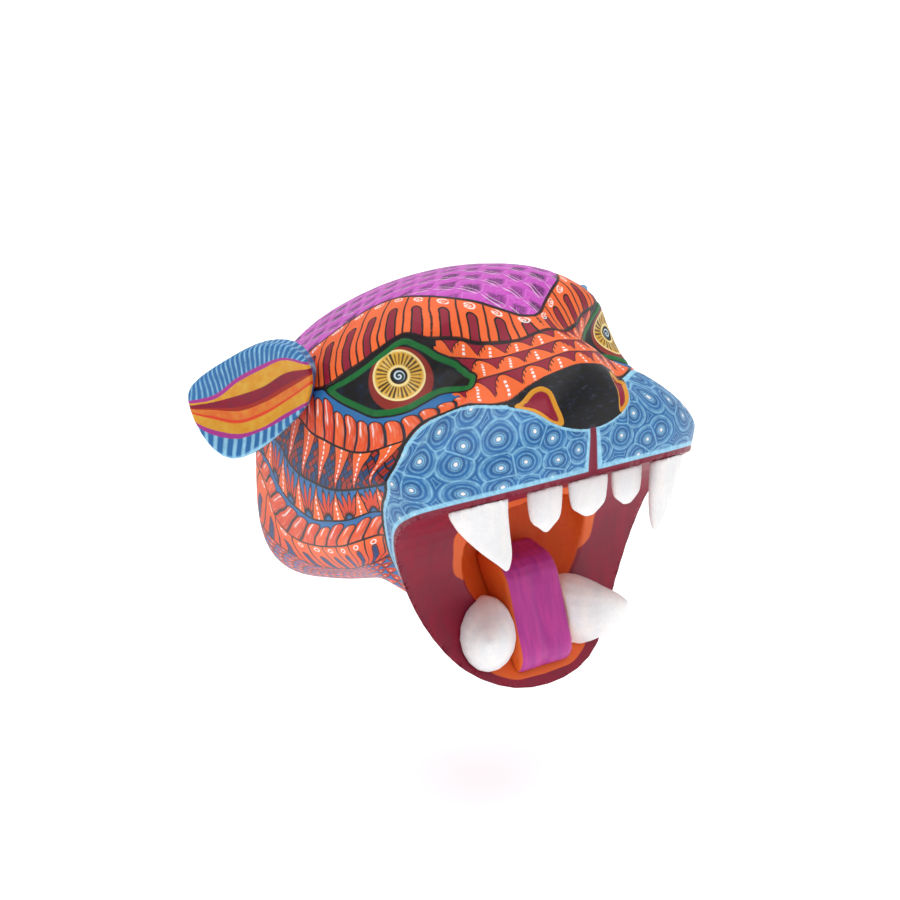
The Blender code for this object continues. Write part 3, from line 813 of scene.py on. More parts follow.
    def paint(self, bench: Bench, pattern: Term, edges: Term) -> tuple[Term, Term]:
        """Lay out the bands one after the other, their dividing lines and the field's borders."""
        u, level, width = bench.split(pattern)
        eye, muzzle, brow = bench.split(edges)
        place = bench.place()
        u = u + (bench.noise(place, 70.0, 1.0) - 0.5) * 4.0
        w = bench.fract(level)
        colour, ink = self.fingers(bench, u, w, width, self.upright_pitch)
        bands = (self.spikes(bench, u, w, width), self.petals(bench, u, w, width),
                 self.fingers(bench, u + w * width * self.lean, w, width, self.slanted_pitch),
                 self.panels(bench, u, w, width), self.scallops(bench, u, w))
        for number, (paint, lines) in enumerate(bands, start=1):
            here = bench.over(level, float(number))
            colour = bench.mix(colour, paint, here)
            ink = ink + (lines - ink) * here
        corner = 1.0 - bench.over(level, self.open_edge)
        colour = bench.mix(colour, bench.mix(Paint.BLUE, Paint.INK, bench.rise(brow, -9.0, -8.0)), corner)
        border = bench.smallest(w + 1.0 - bench.over(level, 1.0), 1.0 - w) * width
        ink = ink * (1.0 - corner)
        ruled = bench.line(border, 0.6) * (1.0 - bench.over(level, self.last_line)) * (1.0 - corner)
        ink = bench.largest(ink, ruled, bench.line(brow, 1.0, 0.25), bench.line(eye, 0.5, 0.2),
                            bench.line(muzzle + 1.5, 0.9, 0.25))
        colour = bench.mix(colour, Paint.INK, ink)
        return bench.mix(colour, Paint.SKY, bench.within(-0.5 - muzzle)), ink


class SwirlRings(Motif):
    """Blue muzzle cells: each holds concentric light rings round a white dot, with light outlines."""

    name = "swirl_rings"
    cell, disc_share, randomness, ring_gap = 11.9, 0.55, 0.52, 1.65
    edge_line, lip_line, lip_paint = 2.0, 4.4, 2.4
    groove_line, groove_paint, nose_line = 3.3, 1.7, 1.2

    def paint(self, bench: Bench, pattern: Term, edges: Term) -> tuple[Term, Term]:
        """Lay out cells, rings, the outline, the lip line and the middle groove."""
        a, b, groove = bench.split(pattern)
        muzzle, lip, nose = bench.split(edges)
        place = bench.place()
        wave = (bench.noise(place, 60.0, 1.0) - 0.5) * 2.2
        grid = bench.join((a + wave) / self.cell, (b + wave) / self.cell)
        near = bench.cells(grid, "F1", self.randomness)
        rim = bench.cells(grid, "DISTANCE_TO_EDGE", self.randomness)
        radius = Term(bench, near.outputs["Distance"]) * self.cell
        edge = Term(bench, rim.outputs["Distance"]) * self.cell
        disc = self.cell * self.disc_share
        inside = bench.within(radius - disc, 0.1)
        rings = abs(bench.fract(radius / self.ring_gap + 0.1) - 0.5) * self.ring_gap
        brush = bench.rise(bench.noise(place, 420.0, 2.0), 0.3, 0.62)
        ring = bench.line(rings, 0.22, 0.3) * bench.rise(edge, 0.6, 1.2) * (brush * 0.35 + 0.22) * inside
        cloud = bench.rise(bench.noise(place, 150.0, 2.0), 0.35, 0.7)
        colour = bench.mix(Paint.BLUE, Paint.NAVY, cloud * 0.35)
        colour = bench.mix(colour, Paint.NAVY, bench.line(radius - 2.6, 0.55, 0.5) * 0.5)
        gap = bench.rise(radius - disc, 0.5, 1.0)
        petal = abs(bench.fract((radius - disc) / 1.1) - 0.5)
        colour = bench.mix(colour, Paint.SKY, bench.line(petal, 0.14, 0.12) * gap * 0.45)
        colour = bench.mix(colour, Paint.SKY, ring)
        outline = bench.largest(bench.line(radius - disc, 0.42, 0.3), bench.line(edge, 0.32, 0.25) * inside)
        colour = bench.mix(colour, Paint.SKY, outline * (brush * 0.35 + 0.35))
        colour = bench.mix(colour, Paint.SKY, bench.line(radius - 1.5, 0.25, 0.2) * 0.7)
        colour = bench.mix(colour, Paint.WHITE, bench.within(radius - 0.75, 0.3))
        light = bench.largest(
            bench.within(muzzle - self.edge_line, 0.35), bench.within(lip - self.lip_line, 0.35),
            bench.within(abs(groove) - self.groove_line, 0.25),
            bench.within(abs(nose) - self.nose_line, 0.25))
        colour = bench.mix(colour, Paint.SKY, light * (brush * 0.3 + 0.6))
        maroon = bench.largest(bench.within(lip - self.lip_paint, 0.2),
                               bench.within(abs(groove) - self.groove_paint, 0.2))
        return bench.mix(colour, Paint.WINE, maroon), ring + light - maroon


class NosePad(Motif):
    """Near-black nose with faint brush marks and ochre-edged maroon nostrils."""

    name = "nose_pad"

    def paint(self, bench: Bench, pattern: Term, edges: Term) -> tuple[Term, Term]:
        """Lay out the black pad and the nostrils."""
        nostril, _, _ = bench.split(edges)
        place = bench.place()
        x, y, z = bench.split(place)
        brush = bench.noise(bench.join(x, y * 0.3, z * 2.5), 260.0, 3.0)
        colour = bench.mix(Paint.BLACK, Paint.NAVY, bench.rise(brush, 0.45, 0.8) * 0.14)
        colour = bench.mix(colour, Paint.WHITE, bench.rise(brush, 0.6, 0.85) * 0.05)
        colour = bench.mix(colour, Paint.OCHRE, bench.within(-nostril))
        return bench.mix(colour, Paint.MAROON, bench.within(2.0 - nostril)), brush * 0.4


class PaintedEye(Motif):
    """Almond eye: green rim, black inside, rust ring, gold iris of dark spokes round a swirled pupil."""

    name = "painted_eye"
    spokes = 30
    iris, cream_ring, inner_ring, pupil, swirl = 12.4, 11.9, 4.6, 4.0, 2.7
    rust, rim_width = 15.2, 3.4

    def paint(self, bench: Bench, pattern: Term, edges: Term) -> tuple[Term, Term]:
        """Lay out the eye from its rim to its pupil."""
        x, y, inside = bench.split(pattern)
        place = bench.place()
        radius = bench.length(x, y * 1.03)
        angle = bench.math("ARCTAN2", y, x)
        brush = bench.noise(place, 200.0, 3.0)
        colour = bench.mix(Paint.BLACK, Paint.NAVY, bench.rise(brush, 0.5, 0.8) * 0.25)
        colour = bench.mix(colour, Paint.RUST, bench.within(bench.length(x - 0.8, y + 2.0) - self.rust, 0.3))
        disc = bench.mix(Paint.GOLD, Paint.CREAM, bench.rise(brush, 0.45, 0.75) * 0.6)
        slice_angle = 2.0 * math.pi / self.spokes
        turn = angle / slice_angle
        spoke = abs(bench.fract(turn) - 0.5) * radius * slice_angle
        luck = bench.chance(bench.floor(turn), 1.0)
        reach = bench.rise(radius, 5.2, 5.8) * (1.0 - bench.rise(radius - luck * 1.6, 9.6, 10.4))
        thick = luck * 0.3 + 0.12 + bench.rise(radius, 5.0, 10.0) * 0.2
        dark = (1.0 - bench.rise(spoke - thick, -0.12, 0.2)) * reach * (luck * 0.4 + 0.6)
        disc = bench.mix(disc, Paint.INK, dark)
        disc = bench.mix(disc, Paint.CREAM, bench.line(radius - self.cream_ring, 0.5, 0.35))
        disc = bench.mix(disc, Paint.CREAM, bench.line(radius - self.inner_ring, 0.5, 0.45))
        disc = bench.mix(disc, Paint.BLACK, bench.within(radius - self.pupil, 0.2))
        curl = abs(bench.fract(radius / 1.9 + angle * 0.159) - 0.5)
        swirl = bench.within(radius - self.swirl, 0.3) * 0.6
        disc = bench.mix(disc, Paint.SKY, (1.0 - bench.rise(curl, 0.2, 0.34)) * swirl)
        disc = bench.mix(disc, Paint.WHITE, (1.0 - bench.rise(curl, 0.1, 0.24)) * swirl)
        colour = bench.mix(colour, disc, bench.within(radius - self.iris, 0.15))
        rim = bench.mix(Paint.GREEN, Paint.INK, bench.rise(brush, 0.5, 0.8) * 0.3)
        colour = bench.mix(colour, rim, bench.within(inside - self.rim_width, 0.25))
        return bench.mix(colour, Paint.INK, bench.line(inside, 0.5, 0.2)), bench.line(radius - 11.8, 0.8, 0.4)


class MouthLining(Motif):
    """Wine-red gums and jaw walls round a bright orange throat."""

    name = "mouth_lining"

    def paint(self, bench: Bench, pattern: Term, edges: Term) -> tuple[Term, Term]:
        """Lay out gums and throat."""
        throat, _, _ = bench.split(pattern)
        place = bench.place()
        x, y, z = bench.split(place)
        brush = bench.noise(bench.join(x, y, z * 0.35), 170.0, 3.0)
        gum = bench.mix(Paint.WINE, Paint.MAROON, bench.rise(brush, 0.35, 0.7))
        deep = bench.mix(Paint.THROAT, Paint.VERMILION, bench.rise(brush, 0.45, 0.8) * 0.5)
        return bench.mix(gum, deep, bench.rise(throat, -0.5, 0.5)), brush


class EarFlame(Motif):
    """Front of the ear: striped blue rim, magenta edge, ochre field, maroon leaf and flame."""

    name = "ear_flame"
    fine_stripe, broad_stripe = 2.6, 5.2

    def paint(self, bench: Bench, pattern: Term, edges: Term) -> tuple[Term, Term]:
        """Lay out the nested bands and their stripes, and the magenta back."""
        u, level, _ = bench.split(pattern)
        front, _, _ = bench.split(edges)
        place = bench.place()
        brush = bench.rise(bench.noise(place, 260.0, 3.0), 0.35, 0.7)
        fine = bench.line(bench.fract(u / self.fine_stripe + level * 1.3) - 0.5, 0.16, 0.12)
        top = bench.mix(Paint.BLUE, Paint.SKY, fine * (brush * 0.5 + 0.4))
        broad = bench.line(bench.fract(u / self.broad_stripe - level * 0.4) - 0.5, 0.2, 0.08)
        low = bench.mix(Paint.BLUE, Paint.SKY, broad * (brush * 0.3 + 0.65))
        flame = bench.mix(Paint.VERMILION, Paint.GOLD, brush * 0.3 + 0.25)
        ochre, maroon = bench.mix(Paint.OCHRE, Paint.GOLD, brush), bench.mix(Paint.MAROON, Paint.WINE, brush)
        bands = ((1.0, Paint.MAGENTA), (2.0, ochre), (3.0, maroon), (4.0, Paint.BRICK), (4.5, flame),
                 (5.6, Paint.VERMILION), (6.0, ochre), (7.0, Paint.MAGENTA), (8.0, low))
        colour = top
        for start, paint in bands:
            colour = bench.mix(colour, paint, bench.rise(level, start - 0.04, start + 0.04))
        rim = bench.within(9.0 - level - 0.28, 0.08)
        colour = bench.mix(colour, Paint.SKY, rim)
        back = bench.mix(Paint.ORCHID, Paint.LILAC, brush * 0.4)
        back = bench.mix(back, Paint.PLUM, bench.rise(bench.noise(place, 240.0, 2.0), 0.6, 0.72) * 0.6)
        stripes = bench.line(bench.fract(u / self.fine_stripe) - 0.5, 0.16, 0.12)
        side = bench.mix(Paint.BLUE, Paint.SKY, stripes * 0.7)
        colour = bench.mix(side, colour, bench.rise(front, 0.25, 0.35))
        return bench.mix(back, colour, bench.rise(front, -0.3, -0.2)), brush


# ------------------------------------------------------------ finishes

@dataclass(frozen=True)
class PaintedFinish:
    """Satin acrylic with a painted motif."""

    name: str
    motif: Motif

    def make(self) -> bpy.types.Material:
        """Return the material."""
        material, bench, shader = start_material(self.name)
        drawn = bench.call(self.motif.tree(), Pattern=bench.attribute("pattern"),
                           Edges=bench.attribute("edges"))
        finish_acrylic(bench, shader, drawn["Color"], drawn["Relief"])
        return material


def start_material(name: str) -> tuple[bpy.types.Material, Bench, bpy.types.Node]:
    """Open a material with its Principled shader.

    Args:
        name: The finish.

    Returns:
        The material, its bench and its shader.
    """
    material = bpy.data.materials.new(name)
    material.use_nodes = True
    material.node_tree.nodes.clear()
    bench = Bench(material.node_tree)
    shader = bench.node("ShaderNodeBsdfPrincipled")
    exit_node = bench.node("ShaderNodeOutputMaterial")
    material.node_tree.links.new(shader.outputs[0], exit_node.inputs[0])
    return material, bench, shader


def finish_acrylic(bench: Bench, shader: bpy.types.Node, colour: Term, relief: "Term | float") -> None:
    """Lay satin brushed acrylic of a colour on a shader."""
    coat = bench.call(SharedEffects.acrylic(), Color=colour, Relief=relief)
    bench.put(shader.inputs["Base Color"], coat["Color"])
    bench.put(shader.inputs["Roughness"], coat["Roughness"])
    bench.put(shader.inputs["Normal"], coat["Normal"])
    shader.inputs["Specular IOR Level"].default_value = 0.3


@dataclass(frozen=True)
class StreakedFinish:
    """One acrylic colour laid on in long uneven brush strokes over another."""

    name: str
    under: Paint
    over: Paint
    cover: float
    stretch: tuple[float, float, float]
    scale: float = 160.0
    sides: Paint | None = None

    def make(self) -> bpy.types.Material:
        """Return the material."""
        material, bench, shader = start_material(self.name)
        x, y, z = bench.split(bench.place())
        stretched = bench.join(*(term * stretch for term, stretch in zip((x, y, z), self.stretch)))
        strokes = bench.noise(stretched, self.scale, 4.0)
        colour = bench.mix(self.under, self.over, bench.rise(strokes, 0.38, 0.68) * self.cover)
        if self.sides:
            side, _, _ = bench.split(bench.attribute("edges"))
            colour = bench.mix(colour, self.sides, bench.rise(side, 0.6, 0.72))
        finish_acrylic(bench, shader, colour, strokes * 2.0)
        return material


@dataclass(frozen=True)
class BareWood:
    """Unpainted copal wood with fine grain and tool marks."""

    name: str = "bare_copal_wood"
    roughness: float = 0.6
    grain_height: float = 0.0002
    mark_height: float = 0.0006

    def make(self) -> bpy.types.Material:
        """Return the material."""
        material, bench, shader = start_material(self.name)
        x, y, z = bench.split(bench.place())
        grain = bench.noise(bench.join(x * 6.0, y * 0.7, z * 6.0), 90.0, 5.0)
        rings = bench.fract(bench.noise(bench.join(x, y * 0.2, z), 28.0, 2.0) * 9.0)
        tool = bench.cells(bench.join(x * 140.0 + z * 60.0, z * 110.0 + y * 90.0), "F1", 1.0)
        marks = Term(bench, tool.outputs["Distance"])
        tone = bench.rise(grain, 0.35, 0.7) * 0.6 + rings * 0.3
        bench.put(shader.inputs["Base Color"], bench.mix(Paint.COPAL, Paint.DARK_COPAL, tone))
        bench.put(shader.inputs["Roughness"], grain * 0.2 + self.roughness)
        height = grain * self.grain_height + marks * self.mark_height
        bench.put(shader.inputs["Normal"], bench.bump(height, 0.7))
        return material


@dataclass(frozen=True)
class ZincSteel:
    """Zinc-plated steel with rubbed patches."""

    name: str = "zinc_plated_steel"
    roughness: float = 0.25
    grain_height: float = 0.00005

    def make(self) -> bpy.types.Material:
        """Return the material."""
        material, bench, shader = start_material(self.name)
        place = bench.place()
        cloud, fine = bench.noise(place, 420.0, 3.0), bench.noise(place, 3000.0, 2.0)
        cover = bench.rise(cloud, 0.4, 0.7)
        bench.put(shader.inputs["Base Color"], bench.mix(Paint.ZINC, Paint.DULL_ZINC, cover))
        shader.inputs["Metallic"].default_value = 1.0
        bench.put(shader.inputs["Roughness"], cover * 0.2 + fine * 0.15 + self.roughness)
        bench.put(shader.inputs["Normal"], bench.bump(fine * self.grain_height, 0.4))
        return material


# ------------------------------------------------------------ the head

class Field(Enum):
    """The painted fields of the head; each is a piece."""

    BACK = "back_skin"
    MOUTH = "mouth_skin"
    NOSE = "nose_skin"
    MUZZLE = "muzzle_skin"
    EYES = "eyes_skin"
    CROWN = "crown_skin"
    BROW = "brow_skin"
    BRIDGE = "bridge_skin"
    CHEEKS = "cheeks_skin"


CROWN_EDGE: Points = (
    (0, -129.5, 45), (-6, -126, 45), (-11, -122, 47), (-21, -115, 51), (-31, -107, 53), (-39, -94, 53),
    (-43, -74, 48), (-49, -60, 40), (-57, -52, 33), (-66, -47, 24), (-72, -40, 17), (-76, -28, 10),
    (-75, -14, 5), (-73, 3, 0),
)
BROW_EDGE: Points = (
    (0, -139, 41), (-6, -137.5, 39.5), (-13, -135, 37), (-21, -129, 35), (-30, -123, 35), (-36, -119, 37),
    (-41, -116, 37.5), (-49, -111.5, 37.8), (-57.5, -104, 39.8), (-64.5, -96.5, 33), (-69.5, -89.5, 26),
    (-74.6, -79.5, 18), (-78.6, -69.5, 9.8), (-80, -56, 5), (-80, -46, 1), (-80, -36, -2), (-79, -15, -6),
    (-77, 3, -8),
)
EYE_OUTLINE: Points = (
    (-79, -70, 8), (-75, -80, 16), (-70, -90, 24), (-65, -97, 31), (-58, -104, 38), (-50, -110, 35),
    (-44, -114, 30), (-39, -123, 26), (-35, -130, 22), (-40, -134, 18), (-48, -123, 14), (-57, -121, 10),
    (-65, -120, 8), (-74, -107, 3), (-76, -91, 3), (-78, -79, 5),
)
NOSE_OUTLINE: Points = (
    (-34, -153, 13), (-26, -155, 19), (-17, -158, 24.5), (-6, -161, 28), (6, -161, 28), (17, -158, 24.5),
    (26, -155, 19), (34, -153, 13), (27, -161, 9), (16, -172, 4), (6, -174, 1.5), (-6, -174, 1.5),
    (-16, -172, 4), (-27, -161, 9),
)
NOSTRIL_OUTLINE: Points = (
    (-32, -156, 13), (-29, -157, 16), (-23, -158, 20), (-20, -160, 21), (-18, -163, 20), (-17, -168, 13),
    (-17, -172, 5), (-20, -170, 5), (-26, -163, 9),
)
MUZZLE_EDGE: Points = (
    (3, -166, 15), (-15, -163, 13), (-28, -157, 13), (-34, -153, 13), (-43, -147, 13), (-54, -138, 10),
    (-60, -131, 6), (-66, -129, 2), (-72, -129, -3), (-81, -132, -12), (-85, -132, -22), (-79, -123, -36),
    (-74, -118, -51), (-70, -115, -66), (-65, -116, -75), (-56, -111, -91), (-42, -119, -108),
    (-30, -131, -120), (-18, -142, -128), (-8, -150, -134),
)
CHEEK_ROWS: tuple[Points, ...] = (
    ((-77, 3, -8), (-79, -15, -6), (-80, -36, -2), (-80, -50, 4), (-79, -62, 8), (-79, -74, 6),
     (-77, -90, 3), (-74, -106, 3), (-68, -117, 6), (-58, -123, 10), (-50, -128, 14), (-42, -137, 18)),
    ((-77, 3, -16), (-79, -20, -14), (-81, -36, -11), (-82, -50, -10), (-85, -65, -13), (-86, -79, -13),
     (-86, -93, -13), (-86, -105, -12), (-84, -116, -9), (-78, -122, -6), (-72, -127, -3),
     (-60, -131, 5), (-50, -140, 11), (-42, -147, 13)),
    ((-78, 3, -24), (-81, -16, -26), (-84, -36, -29), (-85, -43, -33), (-86, -56, -36), (-87, -70, -36),
     (-88, -86, -35), (-88, -99, -32), (-86, -113, -27), (-86, -134, -19), (-82, -146, -14),
     (-72, -158, -8)),
    ((-79, 3, -33), (-81, -10, -37), (-83, -23, -41), (-84, -29, -46), (-85, -40, -52), (-86, -53, -55),
     (-86, -67, -56), (-86, -83, -52), (-85, -99, -47), (-82, -112, -40), (-79, -122, -35),
     (-76, -134, -30), (-68, -146, -26), (-58, -156, -22)),
    ((-79, 3, -43), (-82, -13, -50), (-83, -20, -57), (-83, -25, -67), (-82, -35, -73), (-81, -47, -75),
     (-80, -60, -73), (-81, -83, -66), (-80, -102, -57), (-75, -116, -50), (-70, -130, -47),
     (-62, -142, -44), (-52, -152, -40)),
    ((-78, 3, -72), (-76, -15, -82), (-74, -30, -88), (-71, -39, -92), (-67, -50, -91), (-67, -66, -87),
     (-74, -97, -73), (-71, -115, -63), (-66, -129, -62), (-58, -141, -60), (-48, -151, -58)),
    ((-56, 3, -112), (-56, -30, -104), (-56, -60, -94), (-56, -90, -89), (-52, -108, -98),
     (-40, -120, -114)),
    ((0, 3, -122), (0, -30, -113), (0, -60, -104), (0, -90, -100), (0, -110, -114), (0, -128, -130)),
)
BRIDGE_ROWS: tuple[Points, ...] = (
    ((0, -139, 41), (-13, -135, 37), (-21, -129, 35), (-30, -123, 35), (-36, -119, 37), (-44, -114, 38)),
    ((0, -150, 34.5), (-13, -147, 32), (-23, -141, 29), (-31, -133, 27), (-38, -126, 26),
     (-46, -120, 27)),
    ((0, -161, 28.5), (-14, -159, 26), (-24, -155, 21), (-34, -152, 16), (-43, -146, 14),
     (-50, -137, 12)),
)
MOUTH_SIDE: Points = (
    (220, -1), (173, -22.5), (160, -28), (147, -34.5), (134, -44), (125.5, -57), (121.5, -72),
    (120.5, -88), (122.5, -104), (127, -117), (133.5, -127), (138, -132.5), (142, -139), (143.5, -160),
)


# Half width of the orange paint in the mouth at rising heights.
THROAT_PAINT: Points = (
    (-134, -6), (-131, 22), (-126, 30), (-116, 31), (-100, 30), (-92, 27), (-86, 30), (-78, 41),
    (-66, 43), (-56, 44), (-46, 36), (-40, -6),
)


@dataclass(frozen=True)
class Throat:
    """The leaning egg-shaped bowl of the throat."""

    centre: tuple[float, float, float] = (0.0, -124.0, -74.0)
    radii: tuple[float, float, float] = (37.0, 24.0, 54.0)
    lean: float = 30.0

    def reach(self, points: np.ndarray) -> np.ndarray:
        """Return how far out points lie, with 1 on the bowl itself."""
        x, y, z = (points - self.centre).T
        cosine, sine = math.cos(math.radians(self.lean)), math.sin(math.radians(self.lean))
        local = np.stack([x, y * cosine - z * sine, y * sine + z * cosine], 1)
        return np.linalg.norm(local / self.radii, axis=1)


@dataclass(frozen=True)
class Block:
    """A block of the carving, the same on both sides, between two depths and two heights."""

    front: float
    back: float
    half: float
    low: float
    top: float

    def holds(self, places: np.ndarray) -> np.ndarray:
        """Return which places lie in the block."""
        x, y, z = places.T
        return (y > self.front) & (y < self.back) & (np.abs(x) < self.half) & (z > self.low) & (z < self.top)


HOLLOW_WALL = Block(-79.5, 0.0, 63.0, -104.0, 12.0)
HOLLOW_END = Block(-83.0, -60.0, 63.0, -98.0, 12.0)
POCKET = Block(-6.0, 1.0, 11.8, -12.0, 20.5)


@dataclass(frozen=True)
class Chisel:
    """A cut along a painted line: its depth, and how far it reaches from the line, in millimetres."""

    depth: float
    reach: float

    def step(self, away: np.ndarray) -> np.ndarray:
        """Return the depth of a step that falls off outside the line."""
        return self.depth * np.exp(-np.abs(away) / self.reach) * (away < 0)

    def groove(self, away: np.ndarray) -> np.ndarray:
        """Return the depth of a groove on both sides of the line."""
        return self.depth * np.exp(-(away / self.reach) ** 2)


@dataclass
class HeadCarving:
    """The hollow-backed head: worked over, cut with its grooves, and painted field by field."""

    node: bpy.types.Object
    carver: Carver = Carver(1.15, 4)
    iris_centre: tuple[float, float, float] = (-62.3, -107.3, 21.0)
    iris_across: tuple[float, float, float] = (0.789, -0.614, 0.0)
    iris_up: tuple[float, float, float] = (0.264, 0.339, 0.903)
    throat: Throat = Throat()
    lip_turn: float = 0.75
    bowl_skin: float = 1.05
    bowl_paint: float = 1.06
    bowl_depth: float = 0.8
    bowl_slope: float = 30.0
    middle_height: float = -50.0
    groove_top: float = 2.0
    groove_back: float = -163.0
    back_edge: float = -0.7
    facing_in: float = 12.0
    facing_back: float = 0.25
    muzzle_radius: float = 62.0
    crown_radius: float = 65.0
    nostril_depth: float = 2.0
    weld: float = 1e-6
    sharp: float = 0.7
    rim_near: float = 0.4
    rim_samples: int = 24
    throat_edge: float = 1.1
    rim_reach: float = 3.4
    rim_fade: float = 1.0
    snap: float = 0.12
    scored: tuple[str, ...] = ("crown", "brow", "eye", "muzzle", "nose")

    def measure(self, mesh: bpy.types.Mesh) -> dict[str, np.ndarray]:
        """Measure every point of the carving against the painted lines.

        Args:
            mesh: The carving.

        Returns:
            Named arrays with one value for each point.
        """
        places, normals = to_carving(read_vectors(mesh)), read_normals(mesh)
        side = right_side(places)
        folded = normals.copy()
        folded[:, 0] *= np.where(places[:, 0] > 0, -1.0, 1.0)
        surface = KDTree(len(side))
        for index, place in enumerate(side):
            surface.insert(place, index)
        surface.balance()
        edges = {
            "crown": PaintedEdge(CROWN_EDGE, (-5, -90, 60)),
            "brow": PaintedEdge(BROW_EDGE, (-30, -115, 46)),
            "eye": PaintedEdge(EYE_OUTLINE, self.iris_centre, True),
            "muzzle": PaintedEdge(MUZZLE_EDGE, (-45, -162, -8)),
            "nose": PaintedEdge(NOSE_OUTLINE, (0, -168, 14), True),
            "nostril": PaintedEdge(NOSTRIL_OUTLINE, (-22, -163, 14), True),
        }
        fields = {name: edge.distance(side, surface, folded) for name, edge in edges.items()}
        x, y, z = places.T
        nearest = self.lip_distance(places)
        bowl = self.throat.reach(places)
        fields["lip"] = nearest
        paint_line = smooth_line(tuple((p[0], p[1], 0.0) for p in THROAT_PAINT), 120)
        edge = np.interp(z, paint_line[:, 0], paint_line[:, 1])
        orange = edge - np.abs(x)
        in_bowl = bowl < self.bowl_paint
        fields["throat"] = np.where(in_bowl, np.maximum(nearest - self.bowl_depth, orange), orange)
        fields["mouth"] = np.maximum(self.lip_turn - nearest, (self.bowl_skin - bowl) * self.bowl_slope)
        inward = -(normals[:, 0] * x + normals[:, 2] * (z - self.middle_height))
        fields["wood"] = np.where((y > self.back_edge) | HOLLOW_WALL.holds(places) & (inward > self.facing_in)
                                  | HOLLOW_END.holds(places) & (normals[:, 1] > self.facing_back)
                                  | POCKET.holds(places), 1.0, -1.0)
        widen = 1.0 + 0.6 * np.clip((1.0 - z) / 20.0, 0.0, 1.0)
        beyond = np.maximum(z - self.groove_top, 0.0) + np.maximum(y - self.groove_back, 0.0)
        fields["groove"] = np.copysign(np.hypot(x / widen, beyond), x)
        fields["x"], fields["y"], fields["z"] = x, y, z
        offset = side - self.iris_centre
        fields["iris_x"], fields["iris_y"] = offset @ self.iris_across, offset @ self.iris_up
        patches = {"cheek": PaintPatch(CHEEK_ROWS), "band": PaintPatch((CROWN_EDGE, BROW_EDGE), stations=140),
                   "bridge": PaintPatch(BRIDGE_ROWS)}
        for name, patch in patches.items():
            for part, values in zip(("along", "level", "width"), patch.read(side).T):
                fields[f"{name}_{part}"] = values
        return fields

    def ease_rim(self, mesh: bpy.types.Mesh) -> None:
        """Bring the points beside the sharp rim of the jaw onto that rim.

        Args:
            mesh: The carving.
        """
        shape = bmesh.new()
        shape.from_mesh(self.node.data)
        bmesh.ops.remove_doubles(shape, verts=shape.verts, dist=self.weld)
        sharp = [edge for edge in shape.edges
                 if len(edge.link_faces) == 2 and edge.calc_face_angle() > self.sharp]
        ends = to_carving(np.array([[vert.co[:] for vert in edge.verts] for edge in sharp]).reshape(-1, 3))
        shape.free()
        lip = self.lip_distance(ends).reshape(-1, 2).max(axis=1) < self.rim_near
        lip &= self.throat.reach(ends).reshape(-1, 2).min(axis=1) > self.throat_edge
        first, second = ends[::2][lip], ends[1::2][lip]
        shares = np.linspace(0.0, 1.0, self.rim_samples)
        line = (first[:, None] + (second - first)[:, None] * shares[:, None]).reshape(-1, 3)
        LOG.info("the rim has %d edges", len(first))
        rim = KDTree(len(line))
        for index, place in enumerate(line):
            rim.insert(place, index)
        rim.balance()
        places = read_vectors(mesh)
        local = to_carving(places)
        for index in np.flatnonzero(self.lip_distance(local) < self.rim_reach):
            _, nearest, away = rim.find(local[index])
            weight = min(max((self.rim_reach - away) / self.rim_fade, 0.0), 1.0)
            places[index] += weight * (line[nearest] - local[index]) * MM
        mesh.vertices.foreach_set("co", places.ravel())
        mesh.update()

    def lip_distance(self, places: np.ndarray) -> np.ndarray:
        """Return how far points lie from the cut of the mouth, seen from the side."""
        profile = smooth_line(tuple((p[0], p[1], 0.0) for p in MOUTH_SIDE[:-1]), 140)[:, :2]
        profile = np.vstack([profile, MOUTH_SIDE[-1]])
        flat = np.stack([-places[:, 1], places[:, 2]], 1)
        start, step = profile[:-1], np.diff(profile, axis=0)
        nearest = np.full(len(flat), 1e9)
        for origin, run in zip(start, step):
            t = np.clip(((flat - origin) @ run) / (run @ run), 0.0, 1.0)
            nearest = np.minimum(nearest, np.linalg.norm(flat - origin - t[:, None] * run, axis=1))
        return nearest

    def score(self, mesh: bpy.types.Mesh, fields: dict[str, np.ndarray]) -> dict[str, np.ndarray]:
        """Cut the faces along the painted lines, so that neighbouring fields meet in clean edges.

        Args:
            mesh: The carving.
            fields: What measure returned.

        Returns:
            The fields with values for the new points as well.
        """
        names = list(fields)
        values = list(np.stack([fields[name] for name in names], 1))
        shape = bmesh.new()
        shape.from_mesh(mesh)
        mouth, wood = names.index("mouth"), names.index("wood")
        for name in self.scored:
            column = names.index(name)
            for row in values:
                if abs(row[column]) < self.snap:
                    row[column] = 0.0
            crossing = []
            for edge in shape.edges:
                first, second = (values[vert.index] for vert in edge.verts)
                if first[column] * second[column] < 0 and abs(first[column] - second[column]) < 4.0 and (
                        max(first[mouth], first[wood], second[mouth], second[wood]) < 0):
                    crossing.append(edge)
            for edge in crossing:
                start, end = edge.verts
                first, second = values[start.index], values[end.index]
                share = first[column] / (first[column] - second[column])
                _, fresh = bmesh.utils.edge_split(edge, start, share)
                fresh.index = len(values)
                values.append((1 - share) * first + share * second)
                values[-1][column] = 0.0
            line = [vert for vert in shape.verts if values[vert.index][column] == 0.0]
            bmesh.ops.connect_verts(shape, verts=line)
        shape.to_mesh(mesh)
        shape.free()
        return dict(zip(names, np.array(values).T))

